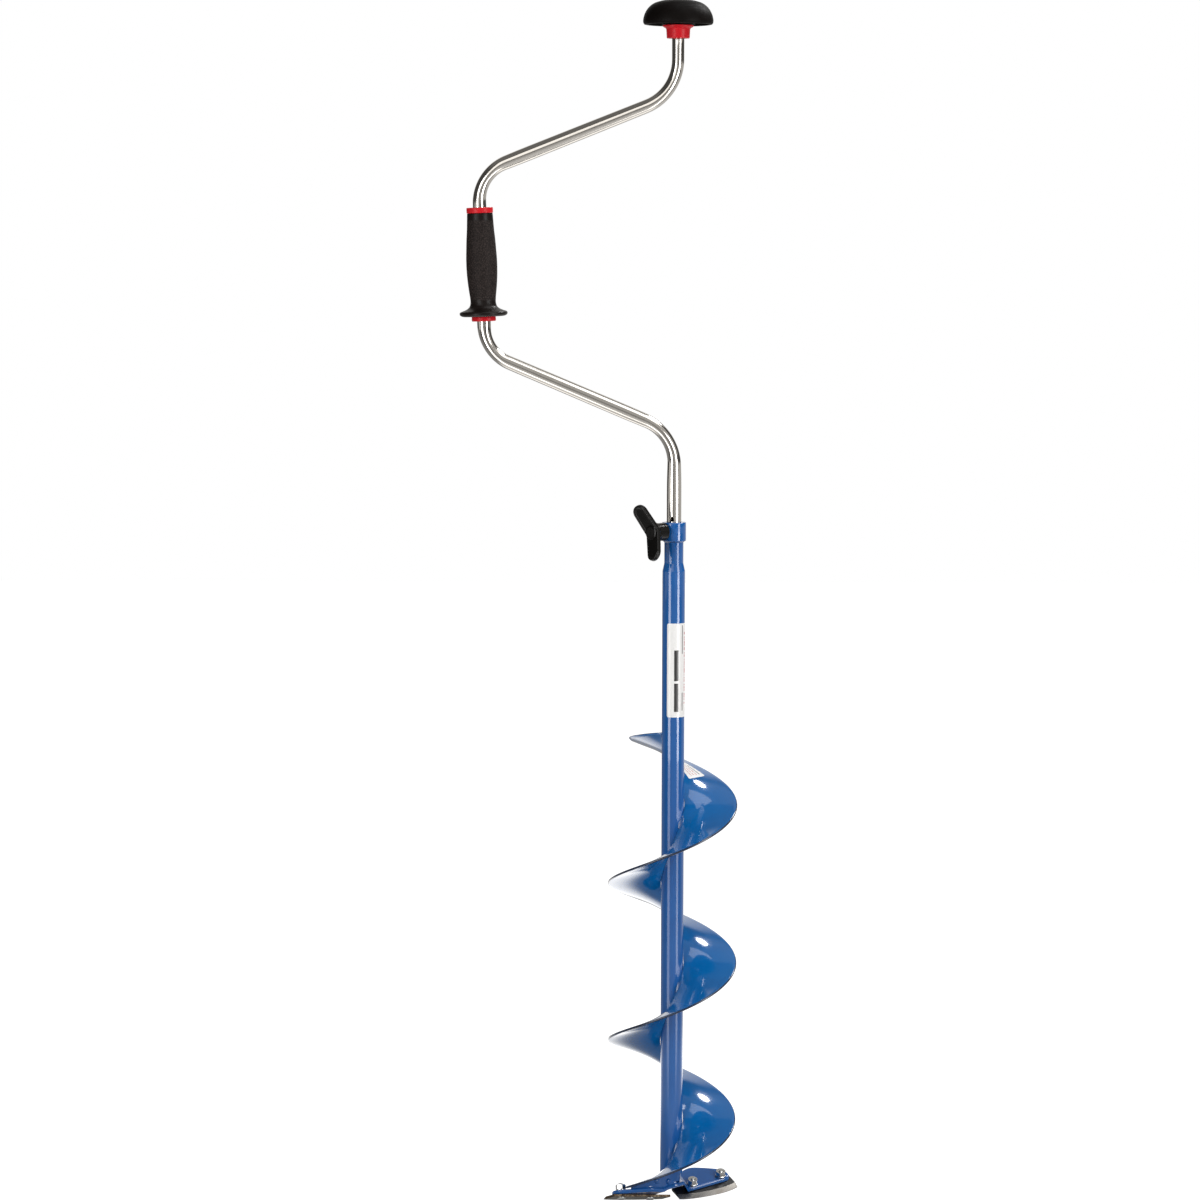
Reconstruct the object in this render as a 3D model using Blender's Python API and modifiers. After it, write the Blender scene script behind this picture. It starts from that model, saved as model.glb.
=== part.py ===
"""Hand ice auger: a two-blade cutting head and a spiral flight on a tubular shaft, with a
telescoping bent crank handle, a spinning hand grip, a spinning breast knob and a wing screw.

Units are millimetres in the tables below and metres in the scene. +Z runs up the shaft, the
origin is on the auger's turning axis in the plane of the blade tips, and the crank is offset
towards -X.
"""

import math

import bmesh
import bpy
import numpy as np
from mathutils import Matrix, Vector

MM = 0.001
GAP = 0.3  # clearance between neighbouring pieces

# shaft
SHAFT_R, SHAFT_BORE_R = 11.9, 9.9
NECK_R, NECK_BORE_R = 10.1, 8.1
SHAFT_Z0, TAPER_Z0, TAPER_Z1, NECK_Z1 = 29.4, 674.0, 681.4, 721.0
PLUG_R, PLUG_Z0, PLUG_Z1 = 9.6, 21.4, 48.0

# clamp collar and wing screw
COLLAR_R, COLLAR_Z0, COLLAR_Z1 = 12.7, 705.0, 725.0
SCREW_Z, SCREW_AZIMUTH = 715.6, 47.0  # azimuth from -Y towards -X
STUD_R, HUB_R, HUB_NEAR, HUB_FAR = 3.75, 9.2, 14.3, 34.0
WING_LEAN, WING_REACH, WING_TIP_R, WING_T = 26.5, 22.6, 7.0, 5.4
WING_ROOT, WING_TIP_OUT = 29.5, 38.2  # distances from the shaft axis along the screw

# handle tube
TUBE_R, TUBE_WALL = 7.7, 1.5
TUBE_Z0 = 440.0
SPINDLE_X, SPINDLE_Z1 = 2.2, 1257.0
CORNERS = [(0.0, 818.5, 50.0), (-197.6, 901.6, 42.0), (-204.5, 1087.0, 43.0), (2.2, 1169.4, 52.0)]
HOLE_R, HOLE_Z, HOLE_STEP, HOLES, HOLE_AZIMUTH = 2.6, 728.5, 38.0, 6, 17.5
GUIDE_R, GUIDE_Z0, GUIDE_Z1 = 9.55, 424.0, 439.7

# hand grip, on the offset leg of the crank
GRIP_TOP, GRIP_BOTTOM = 1046.0, 939.1
GRIP_SLOPE = 0.03716  # sideways drift of the leg per unit of height
GRIP_BORE_R, GRIP_SEAT_R, GRIP_SEAT_DEPTH = 8.6, 10.0, 22.0

# breast knob
KNOB_Z0, KNOB_Z1, KNOB_R = 1240.1, 1265.7, 36.4

# flight
FLIGHT_R, FLIGHT_T, PITCH = 68.15, 2.4, 168.7
FLIGHT_FRONT_Z = 215.8  # height of the mid surface where it crosses -Y
FLIGHT_A0, FLIGHT_A1 = -407.0, 548.0  # degrees round from -Y, rising counterclockwise; above FLIGHT_A1 the end is cut back towards the rim
FLIGHT_END = ((20.0, 608.5), (40.0, 601.0), (68.15, 580.0))  # radius and azimuth of that cut, which starts at FLIGHT_A2 on the shaft
FLIGHT_A2, FLIGHT_END_SPANS = 611.0, 8
# upright web under the flight's lower end: plan of its outer face
GUSSET_T = 2.4
GUSSET_PLAN = ((-38.0, -41.2), (-30.0, -41.2), (-22.0, -39.6), (-15.5, -35.0), (-9.5, -27.8), (-3.5, -20.2), (1.5, -15.9), (5.0, -14.2))

# cutting head; the right-hand blade, and its twin turned half a turn
BLADE_A = Vector((0.60, 12.25, 8.90))  # inner trailing corner of the top face
BLADE_L = Vector((0.87227, 0.47114, 0.13104)).normalized()
BLADE_N = Vector((0.06038, -0.36966, 0.92720)).normalized()
BLADE_W = BLADE_L.cross(BLADE_N).normalized()
BLADE_T = 2.5
BLADE_EDGE = [(0.4, 17.4), (4.5, 19.3), (10.8, 21.3), (18.5, 23.2), (27.3, 24.7), (38.0, 26.1), (50.8, 26.9), (60.0, 26.4), (68.99, 24.4)]
BOLT_S, BOLT_W, BOLT_R = (21.5, 56.5), 7.2, 2.45
BEVEL = 6.1
SEAT_T, SEAT_FRONT, WEB_Z = 4.0, 14.0, 17.0  # sheet thickness, how far it reaches across the blade, underside of the web


def clear_scene():
    for obj in list(bpy.data.objects):
        bpy.data.objects.remove(obj, do_unlink=True)
    for coll in list(bpy.data.collections):
        bpy.data.collections.remove(coll)


clear_scene()
PARTS = bpy.data.collections.new("ice_auger")
HELPERS = bpy.data.collections.new("ice_auger_cutters")
bpy.context.scene.collection.children.link(PARTS)
bpy.context.scene.collection.children.link(HELPERS)


def material(name, colour, roughness, metallic=0.0):
    mat = bpy.data.materials.new(name)
    mat.use_nodes = True
    shader = mat.node_tree.nodes["Principled BSDF"]
    shader.inputs["Base Color"].default_value = (*colour, 1.0)
    shader.inputs["Roughness"].default_value = roughness
    shader.inputs["Metallic"].default_value = metallic
    mat.diffuse_color = (*colour, 1.0)
    return mat


def finish(obj, colour=None, roughness=0.5, metallic=0.0, sharp=35.0, helper=False):
    (HELPERS if helper else PARTS).objects.link(obj)
    if helper:
        obj.hide_render = True
        obj.display_type = "WIRE"
    elif colour:
        obj.data.materials.append(material(obj.name + "_coat", colour, roughness, metallic))
    if obj.type == "MESH":
        for poly in obj.data.polygons:
            poly.use_smooth = True
        obj.data.set_sharp_from_angle(angle=math.radians(sharp))
    return obj


def mesh_object(name, verts, faces, origin=(0, 0, 0), **look):
    """A mesh given in world millimetres, with its object origin where asked."""
    centre = Vector(origin)
    mesh = bpy.data.meshes.new(name)
    mesh.from_pydata([(Vector(v) - centre) * MM for v in verts], [], faces)
    mesh.validate()
    bm = bmesh.new()
    bm.from_mesh(mesh)
    bmesh.ops.recalc_face_normals(bm, faces=bm.faces)
    bm.to_mesh(mesh)
    bm.free()
    obj = bpy.data.objects.new(name, mesh)
    obj.location = centre * MM
    return finish(obj, **look)


def turned(name, profile, steps=32, origin=(0, 0, 0), turn=None, closed=True, **look):
    """A Screw of a profile of (radius, height) points; it runs down its outer side. A profile that starts and ends on the axis is open there."""
    mesh = bpy.data.meshes.new(name)
    count = len(profile)
    edges = [(i, i + 1) for i in range(count - 1)]
    if closed:
        edges.append((count - 1, 0))
    mesh.from_pydata([(r * MM, 0.0, z * MM) for r, z in profile], edges, [])
    obj = bpy.data.objects.new(name, mesh)
    obj.location = Vector(origin) * MM
    if turn is not None:
        obj.rotation_euler = turn
    screw = obj.modifiers.new("Turn", "SCREW")
    screw.axis = "Z"
    screw.angle = 2 * math.pi
    screw.steps = screw.render_steps = steps
    screw.use_merge_vertices = True
    screw.merge_threshold = 0.00001
    screw.use_smooth_shade = True
    return finish(obj, **look)


def cut(obj, cutter, operation="DIFFERENCE"):
    boolean = obj.modifiers.new(operation.title(), "BOOLEAN")
    boolean.operation = operation
    boolean.solver = "EXACT"
    boolean.object = cutter
    return obj


def rod(name, start, end, radius, steps=16, **look):
    """A straight cylinder between two points in millimetres."""
    start, end = Vector(start), Vector(end)
    along = end - start
    mesh = bpy.data.meshes.new(name)
    bm = bmesh.new()
    bmesh.ops.create_cone(bm, cap_ends=True, cap_tris=False, segments=steps, radius1=radius * MM, radius2=radius * MM, depth=along.length * MM)
    bm.to_mesh(mesh)
    bm.free()
    obj = bpy.data.objects.new(name, mesh)
    obj.matrix_world = Matrix.Translation((start + end) / 2 * MM) @ along.to_track_quat("Z", "Y").to_matrix().to_4x4()
    return finish(obj, **look)


def swept_rings(rings, closed_path=False):
    """Faces that join rings of equal length, with both ends left for the caller."""
    count = len(rings[0])
    faces = []
    for i in range(len(rings) - 1):
        for j in range(count):
            k = (j + 1) % count
            faces.append((i * count + j, i * count + k, (i + 1) * count + k, (i + 1) * count + j))
    return faces


# ---------------------------------------------------------------- shaft
def shaft():
    tube = turned(
        "auger_shaft",
        [
            (NECK_BORE_R, NECK_Z1), (NECK_R, NECK_Z1), (NECK_R, TAPER_Z1), (SHAFT_R - 0.4, TAPER_Z0 + 1.6), (SHAFT_R, TAPER_Z0 - 0.6),
            (SHAFT_R, SHAFT_Z0), (SHAFT_BORE_R, SHAFT_Z0), (SHAFT_BORE_R, TAPER_Z0 - 2), (NECK_BORE_R, TAPER_Z1 - 2),
        ],
        steps=28, colour=(0.012, 0.075, 0.26), roughness=0.28,
    )
    plug = turned(
        "shaft_end_plug",
        [(0, PLUG_Z1), (PLUG_R - 1.5, PLUG_Z1), (PLUG_R, PLUG_Z1 - 1.5), (PLUG_R, PLUG_Z0), (0, PLUG_Z0)],
        steps=20, closed=False, colour=(0.012, 0.06, 0.2), roughness=0.4,
    )
    collar = turned(
        "clamp_collar",
        [
            (8.25, COLLAR_Z1 - 0.6), (8.85, COLLAR_Z1), (COLLAR_R - 1.2, COLLAR_Z1), (COLLAR_R - 0.35, COLLAR_Z1 - 0.35), (COLLAR_R, COLLAR_Z1 - 1.2),
            (COLLAR_R, COLLAR_Z0 + 1.2), (COLLAR_R - 0.35, COLLAR_Z0 + 0.35), (COLLAR_R - 1.2, COLLAR_Z0), (NECK_R + GAP, COLLAR_Z0), (NECK_R + GAP, NECK_Z1 + GAP), (8.25, NECK_Z1 + GAP),
        ],
        steps=28, colour=(0.012, 0.075, 0.26), roughness=0.3,
    )
    bore = rod("cutter_stud_bore", Vector((0, 0, SCREW_Z)), Vector((0, 0, SCREW_Z)) + screw_dir() * 20, STUD_R + GAP, steps=20, helper=True)
    cut(collar, bore)
    cut(tube, bore)
    return tube, plug, collar


def screw_dir():
    a = math.radians(SCREW_AZIMUTH)
    return Vector((-math.sin(a), -math.cos(a), 0.0))


# ---------------------------------------------------------------- wing screw
def wing_screw():
    d = screw_dir()
    base = Vector((0, 0, SCREW_Z))
    stand = d.to_track_quat("Z", "Y").to_euler()
    tip = TUBE_R + GAP + 0.1
    turned(
        "wing_screw_stud",
        [(0, 27.0), (STUD_R, 27.0), (STUD_R, tip + 1.6), (STUD_R - 1.1, tip), (0, tip)],
        steps=20, closed=False, origin=base, turn=stand, colour=(0.6, 0.6, 0.6), roughness=0.3, metallic=1.0,
    )
    head = turned(
        "wing_screw_head",
        [
            (0, HUB_FAR), (HUB_R - 2.2, HUB_FAR), (HUB_R - 0.7, HUB_FAR - 0.7), (HUB_R, HUB_FAR - 2.2), (HUB_R + 0.2, HUB_NEAR + 1.0),
            (HUB_R - 0.8, HUB_NEAR), (STUD_R + GAP, HUB_NEAR), (STUD_R + GAP, 27.0 + GAP), (0, 27.0 + GAP),
        ],
        steps=24, closed=False, origin=base, turn=stand, colour=(0.012, 0.012, 0.013), roughness=0.38,
    )
    side = Vector((0, 0, 1)).cross(d).normalized()
    lean = math.radians(WING_LEAN)
    for sign, tag in ((1, "up"), (-1, "down")):
        across = (Vector((0, 0, 1)) * math.cos(lean) - side * math.sin(lean)) * sign
        root = base + d * WING_ROOT + across * 1.0
        end = base + d * WING_TIP_OUT + across * WING_REACH
        long = (end - root).normalized()
        flat = d.cross(across).normalized()
        face = long.cross(flat).normalized()
        outline = []
        for i in range(13):
            t = -math.pi / 2 + math.pi * i / 12
            outline.append(end + (flat * math.sin(t) + long * math.cos(t)) * WING_TIP_R)
        outline += [root + flat * 5.6, root - flat * 5.6]
        verts = [p + face * WING_T / 2 for p in outline] + [p - face * WING_T / 2 for p in outline]
        n = len(outline)
        faces = [tuple(range(n)), tuple(range(2 * n - 1, n - 1, -1))] + [(i, (i + 1) % n, n + (i + 1) % n, n + i) for i in range(n)]
        paddle = mesh_object("helper_paddle_" + tag, verts, faces, helper=True)
        bevel = paddle.modifiers.new("Round", "BEVEL")
        bevel.width = 1.0 * MM
        bevel.segments = 2
        bevel.limit_method = "ANGLE"
        bevel.angle_limit = math.radians(50)
        cut(head, paddle, "UNION")
    return head


# ---------------------------------------------------------------- handle
def handle_path():
    """Points down the tube's centre line, from its lower end up to the spindle, with how much each is flattened."""
    ends = [Vector((0, 0, TUBE_Z0))] + [Vector((x, 0, z)) for x, z, _ in CORNERS] + [Vector((SPINDLE_X, 0, SPINDLE_Z1))]
    path = [(ends[0], 0.0)]
    path += [(Vector((0, 0, z)), 0.0) for z in (600.0, 700.0, 770.0)]
    for i, (x, z, radius) in enumerate(CORNERS, start=1):
        before = (ends[i] - ends[i - 1]).normalized()
        after = (ends[i + 1] - ends[i]).normalized()
        angle = before.angle(after)
        setback = radius * math.tan(angle / 2)
        start = ends[i] - before * setback
        inward = (after - before * before.dot(after)).normalized()
        centre = start + inward * radius
        steps = 8
        for k in range(steps + 1):
            t = angle * k / steps
            point = centre - inward * radius * math.cos(t) + before * radius * math.sin(t)
            path.append((point, math.sin(math.pi * (0.15 + 0.7 * k / steps)) if i < 4 else 0.55 + 0.45 * min(1.0, 2.0 * k / steps)))
        if i < 4:
            finish_point = path[-1][0]
            straight = (ends[i + 1] - finish_point).length
            path.append((finish_point + after * 9.0, 0.1))
            if i != 2:
                path.append((finish_point + after * straight * 0.45, 0.35))
    path += [(Vector((SPINDLE_X, 0, 1224.0)), 1.0), (Vector((SPINDLE_X, 0, 1226.5)), 1.0), (Vector((SPINDLE_X, 0, SPINDLE_Z1)), 1.0)]
    return path


def tube_sections(path, radius, squeeze, around):
    rings = []
    for i, (point, flat) in enumerate(path):
        a = path[max(i - 1, 0)][0]
        b = path[min(i + 1, len(path) - 1)][0]
        along = (b - a).normalized()
        across = Vector((0, 1, 0)).cross(along).normalized()
        top = point.z > 1226.4
        narrow = radius - squeeze * flat
        wide = narrow if top else radius + squeeze * 0.35 * flat
        rings.append([point + across * narrow * math.cos(2 * math.pi * j / around) + Vector((0, 1, 0)) * wide * math.sin(2 * math.pi * j / around) for j in range(around)])
    return rings


def handle_tube():
    path = handle_path()
    around = 16
    outer = tube_sections(path, TUBE_R, 1.25, around)
    inner = tube_sections(path, TUBE_R - TUBE_WALL, 1.25, around)
    count = len(path) * around
    verts = [p for ring in outer for p in ring] + [p for ring in inner for p in ring]
    faces = swept_rings(outer) + [tuple(count + v for v in reversed(face)) for face in swept_rings(inner)]
    last = (len(path) - 1) * around
    for j in range(around):
        k = (j + 1) % around
        faces.append((j, count + j, count + k, k))
        faces.append((last + k, count + last + k, count + last + j, last + j))
    tube = mesh_object("handle_tube", verts, faces, colour=(0.62, 0.6, 0.57), roughness=0.16, metallic=1.0)
    a = math.radians(HOLE_AZIMUTH)
    out = Vector((-math.sin(a), -math.cos(a), 0))
    for i in range(HOLES):
        z = HOLE_Z - i * HOLE_STEP
        cut(tube, rod(f"cutter_adjust_hole_{i + 1}", Vector((0, 0, z)) + out * 3, Vector((0, 0, z)) + out * 12, HOLE_R, steps=14, helper=True))
    return tube


def handle_trim():
    turned(
        "handle_guide_bush",
        [
            (4.2, 455.0), (5.85, 455.0), (5.85, 439.4), (GUIDE_R - 0.8, 439.4), (GUIDE_R, 438.6), (GUIDE_R, GUIDE_Z0 + 1.5), (GUIDE_R - 1.5, GUIDE_Z0), (4.2, GUIDE_Z0),
        ],
        steps=20, colour=(0.02, 0.02, 0.022), roughness=0.5,
    )
    x = SPINDLE_X
    spindle_bore = TUBE_R - TUBE_WALL - 1.25
    turned("spindle_plug", [(2.2, 1257.0), (spindle_bore - GAP, 1257.0), (spindle_bore - GAP, 1236.0), (2.2, 1236.0)], steps=20, origin=(x, 0, 0), colour=(0.45, 0.45, 0.45), roughness=0.4, metallic=1.0)
    turned("knob_screw", [(0, 1262.0), (2.4, 1262.0), (4.2, 1260.6), (4.4, 1259.4), (1.9, 1259.4), (1.9, 1240.0), (0, 1240.0)], steps=20, closed=False, origin=(x, 0, 0), colour=(0.55, 0.55, 0.55), roughness=0.3, metallic=1.0)
    turned("knob_washer", [(2.3, 1259.1), (10.4, 1259.1), (10.4, 1257.6), (2.3, 1257.6)], steps=24, origin=(x, 0, 0), colour=(0.6, 0.6, 0.6), roughness=0.35, metallic=1.0)


def knob():
    x = SPINDLE_X
    spindle = TUBE_R - 1.25
    turned(
        "knob_bush",
        [
            (spindle + 0.4, 1256.0), (9.2, 1256.0), (9.2, 1239.8), (15.6, 1239.8), (16.3, 1239.3), (16.0, 1238.0), (12.7, 1236.2),
            (12.35, 1235.0), (11.95, 1227.2), (11.3, 1226.2), (spindle + 0.4, 1226.2),
        ],
        steps=24, origin=(x, 0, 0), colour=(0.62, 0.012, 0.018), roughness=0.3,
    )
    turned(
        "handle_knob",
        [
            (12.4, 1262.6), (12.4, 1265.15), (18.2, 1264.4), (24.0, 1262.5), (27.6, 1260.4), (30.1, 1258.3), (31.9, 1256.2), (33.3, 1254.2),
            (34.4, 1252.1), (35.2, 1250.1), (35.8, 1248.0), (36.2, 1246.0), (36.4, 1244.0), (36.1, 1242.0), (35.2, 1240.6), (33.8, 1240.1),
            (9.6, 1240.1), (9.6, 1256.6), (10.8, 1256.6), (10.8, 1262.6),
        ],
        steps=32, origin=(x, 0, 0), colour=(0.014, 0.014, 0.015), roughness=0.62,
    )
    turned("knob_cap", [(0, 1265.7), (6.0, 1265.6), (12.0, 1265.2), (12.0, 1262.9), (0, 1262.9)], steps=24, closed=False, origin=(x, 0, 0), colour=(0.014, 0.014, 0.015), roughness=0.6)


def grip():
    """The grip and its two bushes turn on the offset leg, which leans a little from the vertical."""
    middle = (GRIP_TOP + GRIP_BOTTOM) / 2
    x = -203.3 - (middle - 1054.5) * GRIP_SLOPE
    lean = (0.0, -math.atan(GRIP_SLOPE), 0.0)
    top, low = GRIP_TOP - middle, GRIP_BOTTOM - middle
    r = GRIP_BORE_R
    seat = GRIP_SEAT_R
    profile = [
        (seat, top), (12.6, top), (13.35, top - 0.8), (13.5, top - 3), (13.7, top - 8), (14.1, top - 16), (14.9, top - 26), (15.6, top - 38), (16.05, top - 48),
        (16.1, top - 54), (15.9, top - 62), (15.2, top - 72), (14.2, top - 81), (13.45, top - 87), (13.2, top - 91), (13.5, top - 94.5), (15.2, top - 97.6), (18.6, top - 99.8),
        (22.6, top - 101.2), (24.4, top - 102.0), (25.1, top - 103.4), (24.8, top - 105.0), (23.2, top - 106.2), (21.0, low), (seat, low),
        (seat, low + GRIP_SEAT_DEPTH), (r, low + GRIP_SEAT_DEPTH), (r, top - GRIP_SEAT_DEPTH), (seat, top - GRIP_SEAT_DEPTH),
    ]
    turned("crank_grip", profile, steps=24, origin=(x, 0, middle), turn=lean, colour=(0.022, 0.017, 0.014), roughness=0.72)
    for name, z, sign, flange, thick in (("grip_bush_upper", top, 1, 13.8, 5.9), ("grip_bush_lower", low, -1, 12.6, 4.9)):
        near, far, deep = z + sign * GAP, z + sign * thick, z - sign * 20.0
        ring = [
            (8.15, far), (flange - 1.0, far), (flange - 0.3, far - sign * 0.3), (flange, far - sign * 1.0), (flange, near + sign * 0.8), (flange - 0.8, near),
            (seat - 0.3, near), (seat - 0.3, deep), (8.15, deep),
        ]
        if sign < 0:
            ring.reverse()
        turned(name, ring, steps=24, origin=(x, 0, middle), turn=lean, colour=(0.62, 0.012, 0.018), roughness=0.3)


# ---------------------------------------------------------------- flight
def helix(radius, degrees, lift=0.0):
    """A point on the flight's mid surface, moved along the surface normal by lift."""
    a = math.radians(degrees)
    rise = PITCH / (2 * math.pi)
    radial = Vector((math.sin(a), -math.cos(a), 0))
    tangent = Vector((math.cos(a), math.sin(a), 0))
    point = radial * radius + Vector((0, 0, FLIGHT_FRONT_Z + rise * a))
    normal = (Vector((0, 0, 1)) * radius - tangent * rise).normalized()
    return point + normal * lift


def helix_slab(name, r0, r1, a0, a1, low, high, radial_steps, angle_step, **look):
    """A slab of the flight's surface between two radii, two azimuths and two lifts."""
    spans = max(1, round((a1 - a0) / angle_step))
    rings = []
    for i in range(spans + 1):
        a = a0 + (a1 - a0) * i / spans
        radii = [r0 + (r1 - r0) * j / radial_steps for j in range(radial_steps + 1)]
        rings.append([helix(r, a, high) for r in radii] + [helix(r, a, low) for r in reversed(radii)])
    verts = [p for ring in rings for p in ring]
    faces = swept_rings(rings)
    n = len(rings[0])
    faces.append(tuple(reversed(range(n))))
    faces.append(tuple(range(len(verts) - n, len(verts))))
    return mesh_object(name, verts, faces, **look)


def flight():
    blue = (0.008, 0.115, 0.36)
    ends = ((SHAFT_R + GAP, FLIGHT_A2),) + FLIGHT_END
    spans = round((FLIGHT_A1 - FLIGHT_A0) / 9.1)
    rings = [[(r, FLIGHT_A0 + (FLIGHT_A1 - FLIGHT_A0) * i / spans) for r, _ in ends] for i in range(spans + 1)]
    rings += [[(r, FLIGHT_A1 + (end - FLIGHT_A1) * i / FLIGHT_END_SPANS) for r, end in ends] for i in range(1, FLIGHT_END_SPANS + 1)]
    rings = [[helix(r, a, FLIGHT_T / 2) for r, a in ring] + [helix(r, a, -FLIGHT_T / 2) for r, a in reversed(ring)] for ring in rings]
    verts = [p for ring in rings for p in ring]
    n = len(rings[0])
    faces = swept_rings(rings) + [tuple(reversed(range(n))), tuple(range(len(verts) - n, len(verts)))]
    mesh_object("spiral_flight", verts, faces, colour=blue, roughness=0.25)
    welds = (("flight_weld_1", 584.0, 609.0), ("flight_weld_2", 396.0, 424.0), ("flight_weld_3", 214.0, 240.0), ("flight_weld_4", 22.0, 48.0), ("flight_weld_5", -160.0, -132.0), ("flight_weld_6", -352.0, -322.0))
    lift = FLIGHT_T / 2 + GAP
    for name, a0, a1 in welds:
        spans = 6
        rings = []
        for i in range(spans + 1):
            a = a0 + (a1 - a0) * i / spans
            size = 0.45 + 0.55 * math.sin(math.pi * i / spans)
            r0 = SHAFT_R + 2 * GAP
            rings.append([helix(r0 + 0.9, a, lift + 0.1), helix(r0 + 0.9 + 3.2 * size, a, lift + 0.1), helix(r0 + 0.9 + 2.2 * size, a, lift + 1.5 * size), helix(r0 + 0.9 + 0.7 * size, a, lift + 2.2 * size)])
        verts = [p for ring in rings for p in ring]
        faces = swept_rings(rings) + [(3, 2, 1, 0), tuple(range(len(verts) - 4, len(verts)))]
        mesh_object(name, verts, faces, colour=blue, roughness=0.35, sharp=60)


# ---------------------------------------------------------------- cutting head
def on_blade(s, w, h=0.0, twin=False):
    """A point given along a blade, across it towards its edge, and above its top face. The twin is turned half a turn about Z."""
    p = BLADE_A + BLADE_L * s + BLADE_W * w + BLADE_N * h
    return Vector((-p.x, -p.y, p.z)) if twin else p


def blade(name, twin):
    outline = [(0.4, 0.0)] + BLADE_EDGE + [(68.6, 0.0)]
    bevel = [(s, w - BEVEL) for s, w in BLADE_EDGE]
    n, m = len(outline), len(BLADE_EDGE)
    verts = [on_blade(s, w, 0.0, twin) for s, w in [outline[0]] + bevel + [outline[-1]]]
    verts += [on_blade(s, w, -BLADE_T + 0.25, twin) for s, w in BLADE_EDGE]
    verts += [on_blade(s, w, -BLADE_T, twin) for s, w in outline]
    top = list(range(m + 2))
    edge = [m + 2 + i for i in range(m)]
    low = [2 * m + 2 + i for i in range(n)]
    faces = [tuple(top), tuple(reversed(low))]
    faces += [(top[1 + i], top[2 + i], edge[i + 1], edge[i]) for i in range(m - 1)]
    faces += [(edge[i], edge[i + 1], low[2 + i], low[1 + i]) for i in range(m - 1)]
    faces += [(top[0], top[1], edge[0], low[1], low[0]), (top[-1], low[-1], low[-2], edge[-1], top[-2]), (top[0], low[0], low[-1], top[-1])]
    obj = mesh_object(name, verts, faces, colour=(0.02, 0.02, 0.022), roughness=0.3, metallic=0.7)
    for i, s in enumerate(BOLT_S):
        cut(obj, rod(f"cutter_{name}_hole_{i + 1}", on_blade(s, BOLT_W, -10, twin), on_blade(s, BOLT_W, 12, twin), BOLT_R + 0.4, steps=16, helper=True))
    return obj


def smooth(t):
    t = min(1.0, max(0.0, t))
    return t * t * (3 - 2 * t)


def head_height(x, y, lift):
    """Height of the head's sheet: two seats, each parallel to its blade, joined by a level web under the shaft."""
    def seat(px, py):
        return BLADE_A.z + (-(px - BLADE_A.x) * BLADE_N.x - (py - BLADE_A.y) * BLADE_N.y + lift + GAP) / BLADE_N.z
    s = x * 0.87 + y * 0.30
    weight = smooth((abs(s) - 10.5) / 9.5)
    outer = seat(x, y) if s > 0 else seat(-x, -y)
    return WEB_Z + lift + (outer - WEB_Z - lift) * weight


def head_outline():
    front = SEAT_FRONT
    half = [
        (-1.0, -21.0), (5.0, -14.6), (11.0, -8.2), (16.2, -1.0), (18.8, 4.5), on_blade(16.2, front - 1.5).xy, on_blade(17.4, front - 0.2).xy, on_blade(19.5, front).xy,
        on_blade(31.0, front).xy, on_blade(43.0, front).xy, on_blade(54.0, front).xy, on_blade(60.5, front).xy, on_blade(63.5, front - 0.9).xy, on_blade(65.8, front - 3.2).xy, on_blade(66.6, 6.4).xy, (58.6, 41.6), (54.4, 44.0),
        (44.0, 44.4), (32.0, 44.4), (21.0, 43.6), (14.0, 38.5), (7.5, 30.5),
    ]
    half = [(float(p[0]), float(p[1])) for p in half]
    return half + [(-x, -y) for x, y in half]


def cutting_head():
    outline = head_outline()
    mesh = bpy.data.meshes.new("cutting_head")
    bm = bmesh.new()
    base = [bm.verts.new((x, y, 0.0)) for x, y in outline]
    bm.faces.new(base)
    for k in range(-6, 7):
        for normal, at in (((0.87, 0.30, 0), k * 4.6), ((-0.30, 0.87, 0), k * 9.0)):
            bmesh.ops.bisect_plane(bm, geom=list(bm.verts) + list(bm.edges) + list(bm.faces), plane_co=Vector(normal) * at, plane_no=normal)
    bmesh.ops.triangulate(bm, faces=bm.faces)
    flat = [(v.co.x, v.co.y) for v in bm.verts]
    faces = [[v.index for v in f.verts] for f in bm.faces]
    rim = [(e.verts[0].index, e.verts[1].index) for e in bm.edges if len(e.link_faces) == 1]
    bm.verts.index_update()
    faces = [[v.index for v in f.verts] for f in bm.faces]
    rim = [(e.verts[0].index, e.verts[1].index) for e in bm.edges if len(e.link_faces) == 1]
    bm.free()
    bpy.data.meshes.remove(mesh)
    count = len(flat)
    verts = [(x, y, head_height(x, y, SEAT_T)) for x, y in flat] + [(x, y, head_height(x, y, 0.0)) for x, y in flat]
    every = [tuple(f) for f in faces] + [tuple(count + v for v in reversed(f)) for f in faces]
    every += [(a, b, count + b, count + a) for a, b in rim]
    head = mesh_object("cutting_head", verts, every, colour=(0.012, 0.075, 0.26), roughness=0.3)
    for twin, tag in ((False, "a"), (True, "b")):
        for i, s in enumerate(BOLT_S):
            cut(head, rod(f"cutter_head_hole_{tag}{i + 1}", on_blade(s, BOLT_W, -12, twin), on_blade(s, BOLT_W, 14, twin), BOLT_R + 0.4, steps=16, helper=True))
    gusset()
    return head


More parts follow.
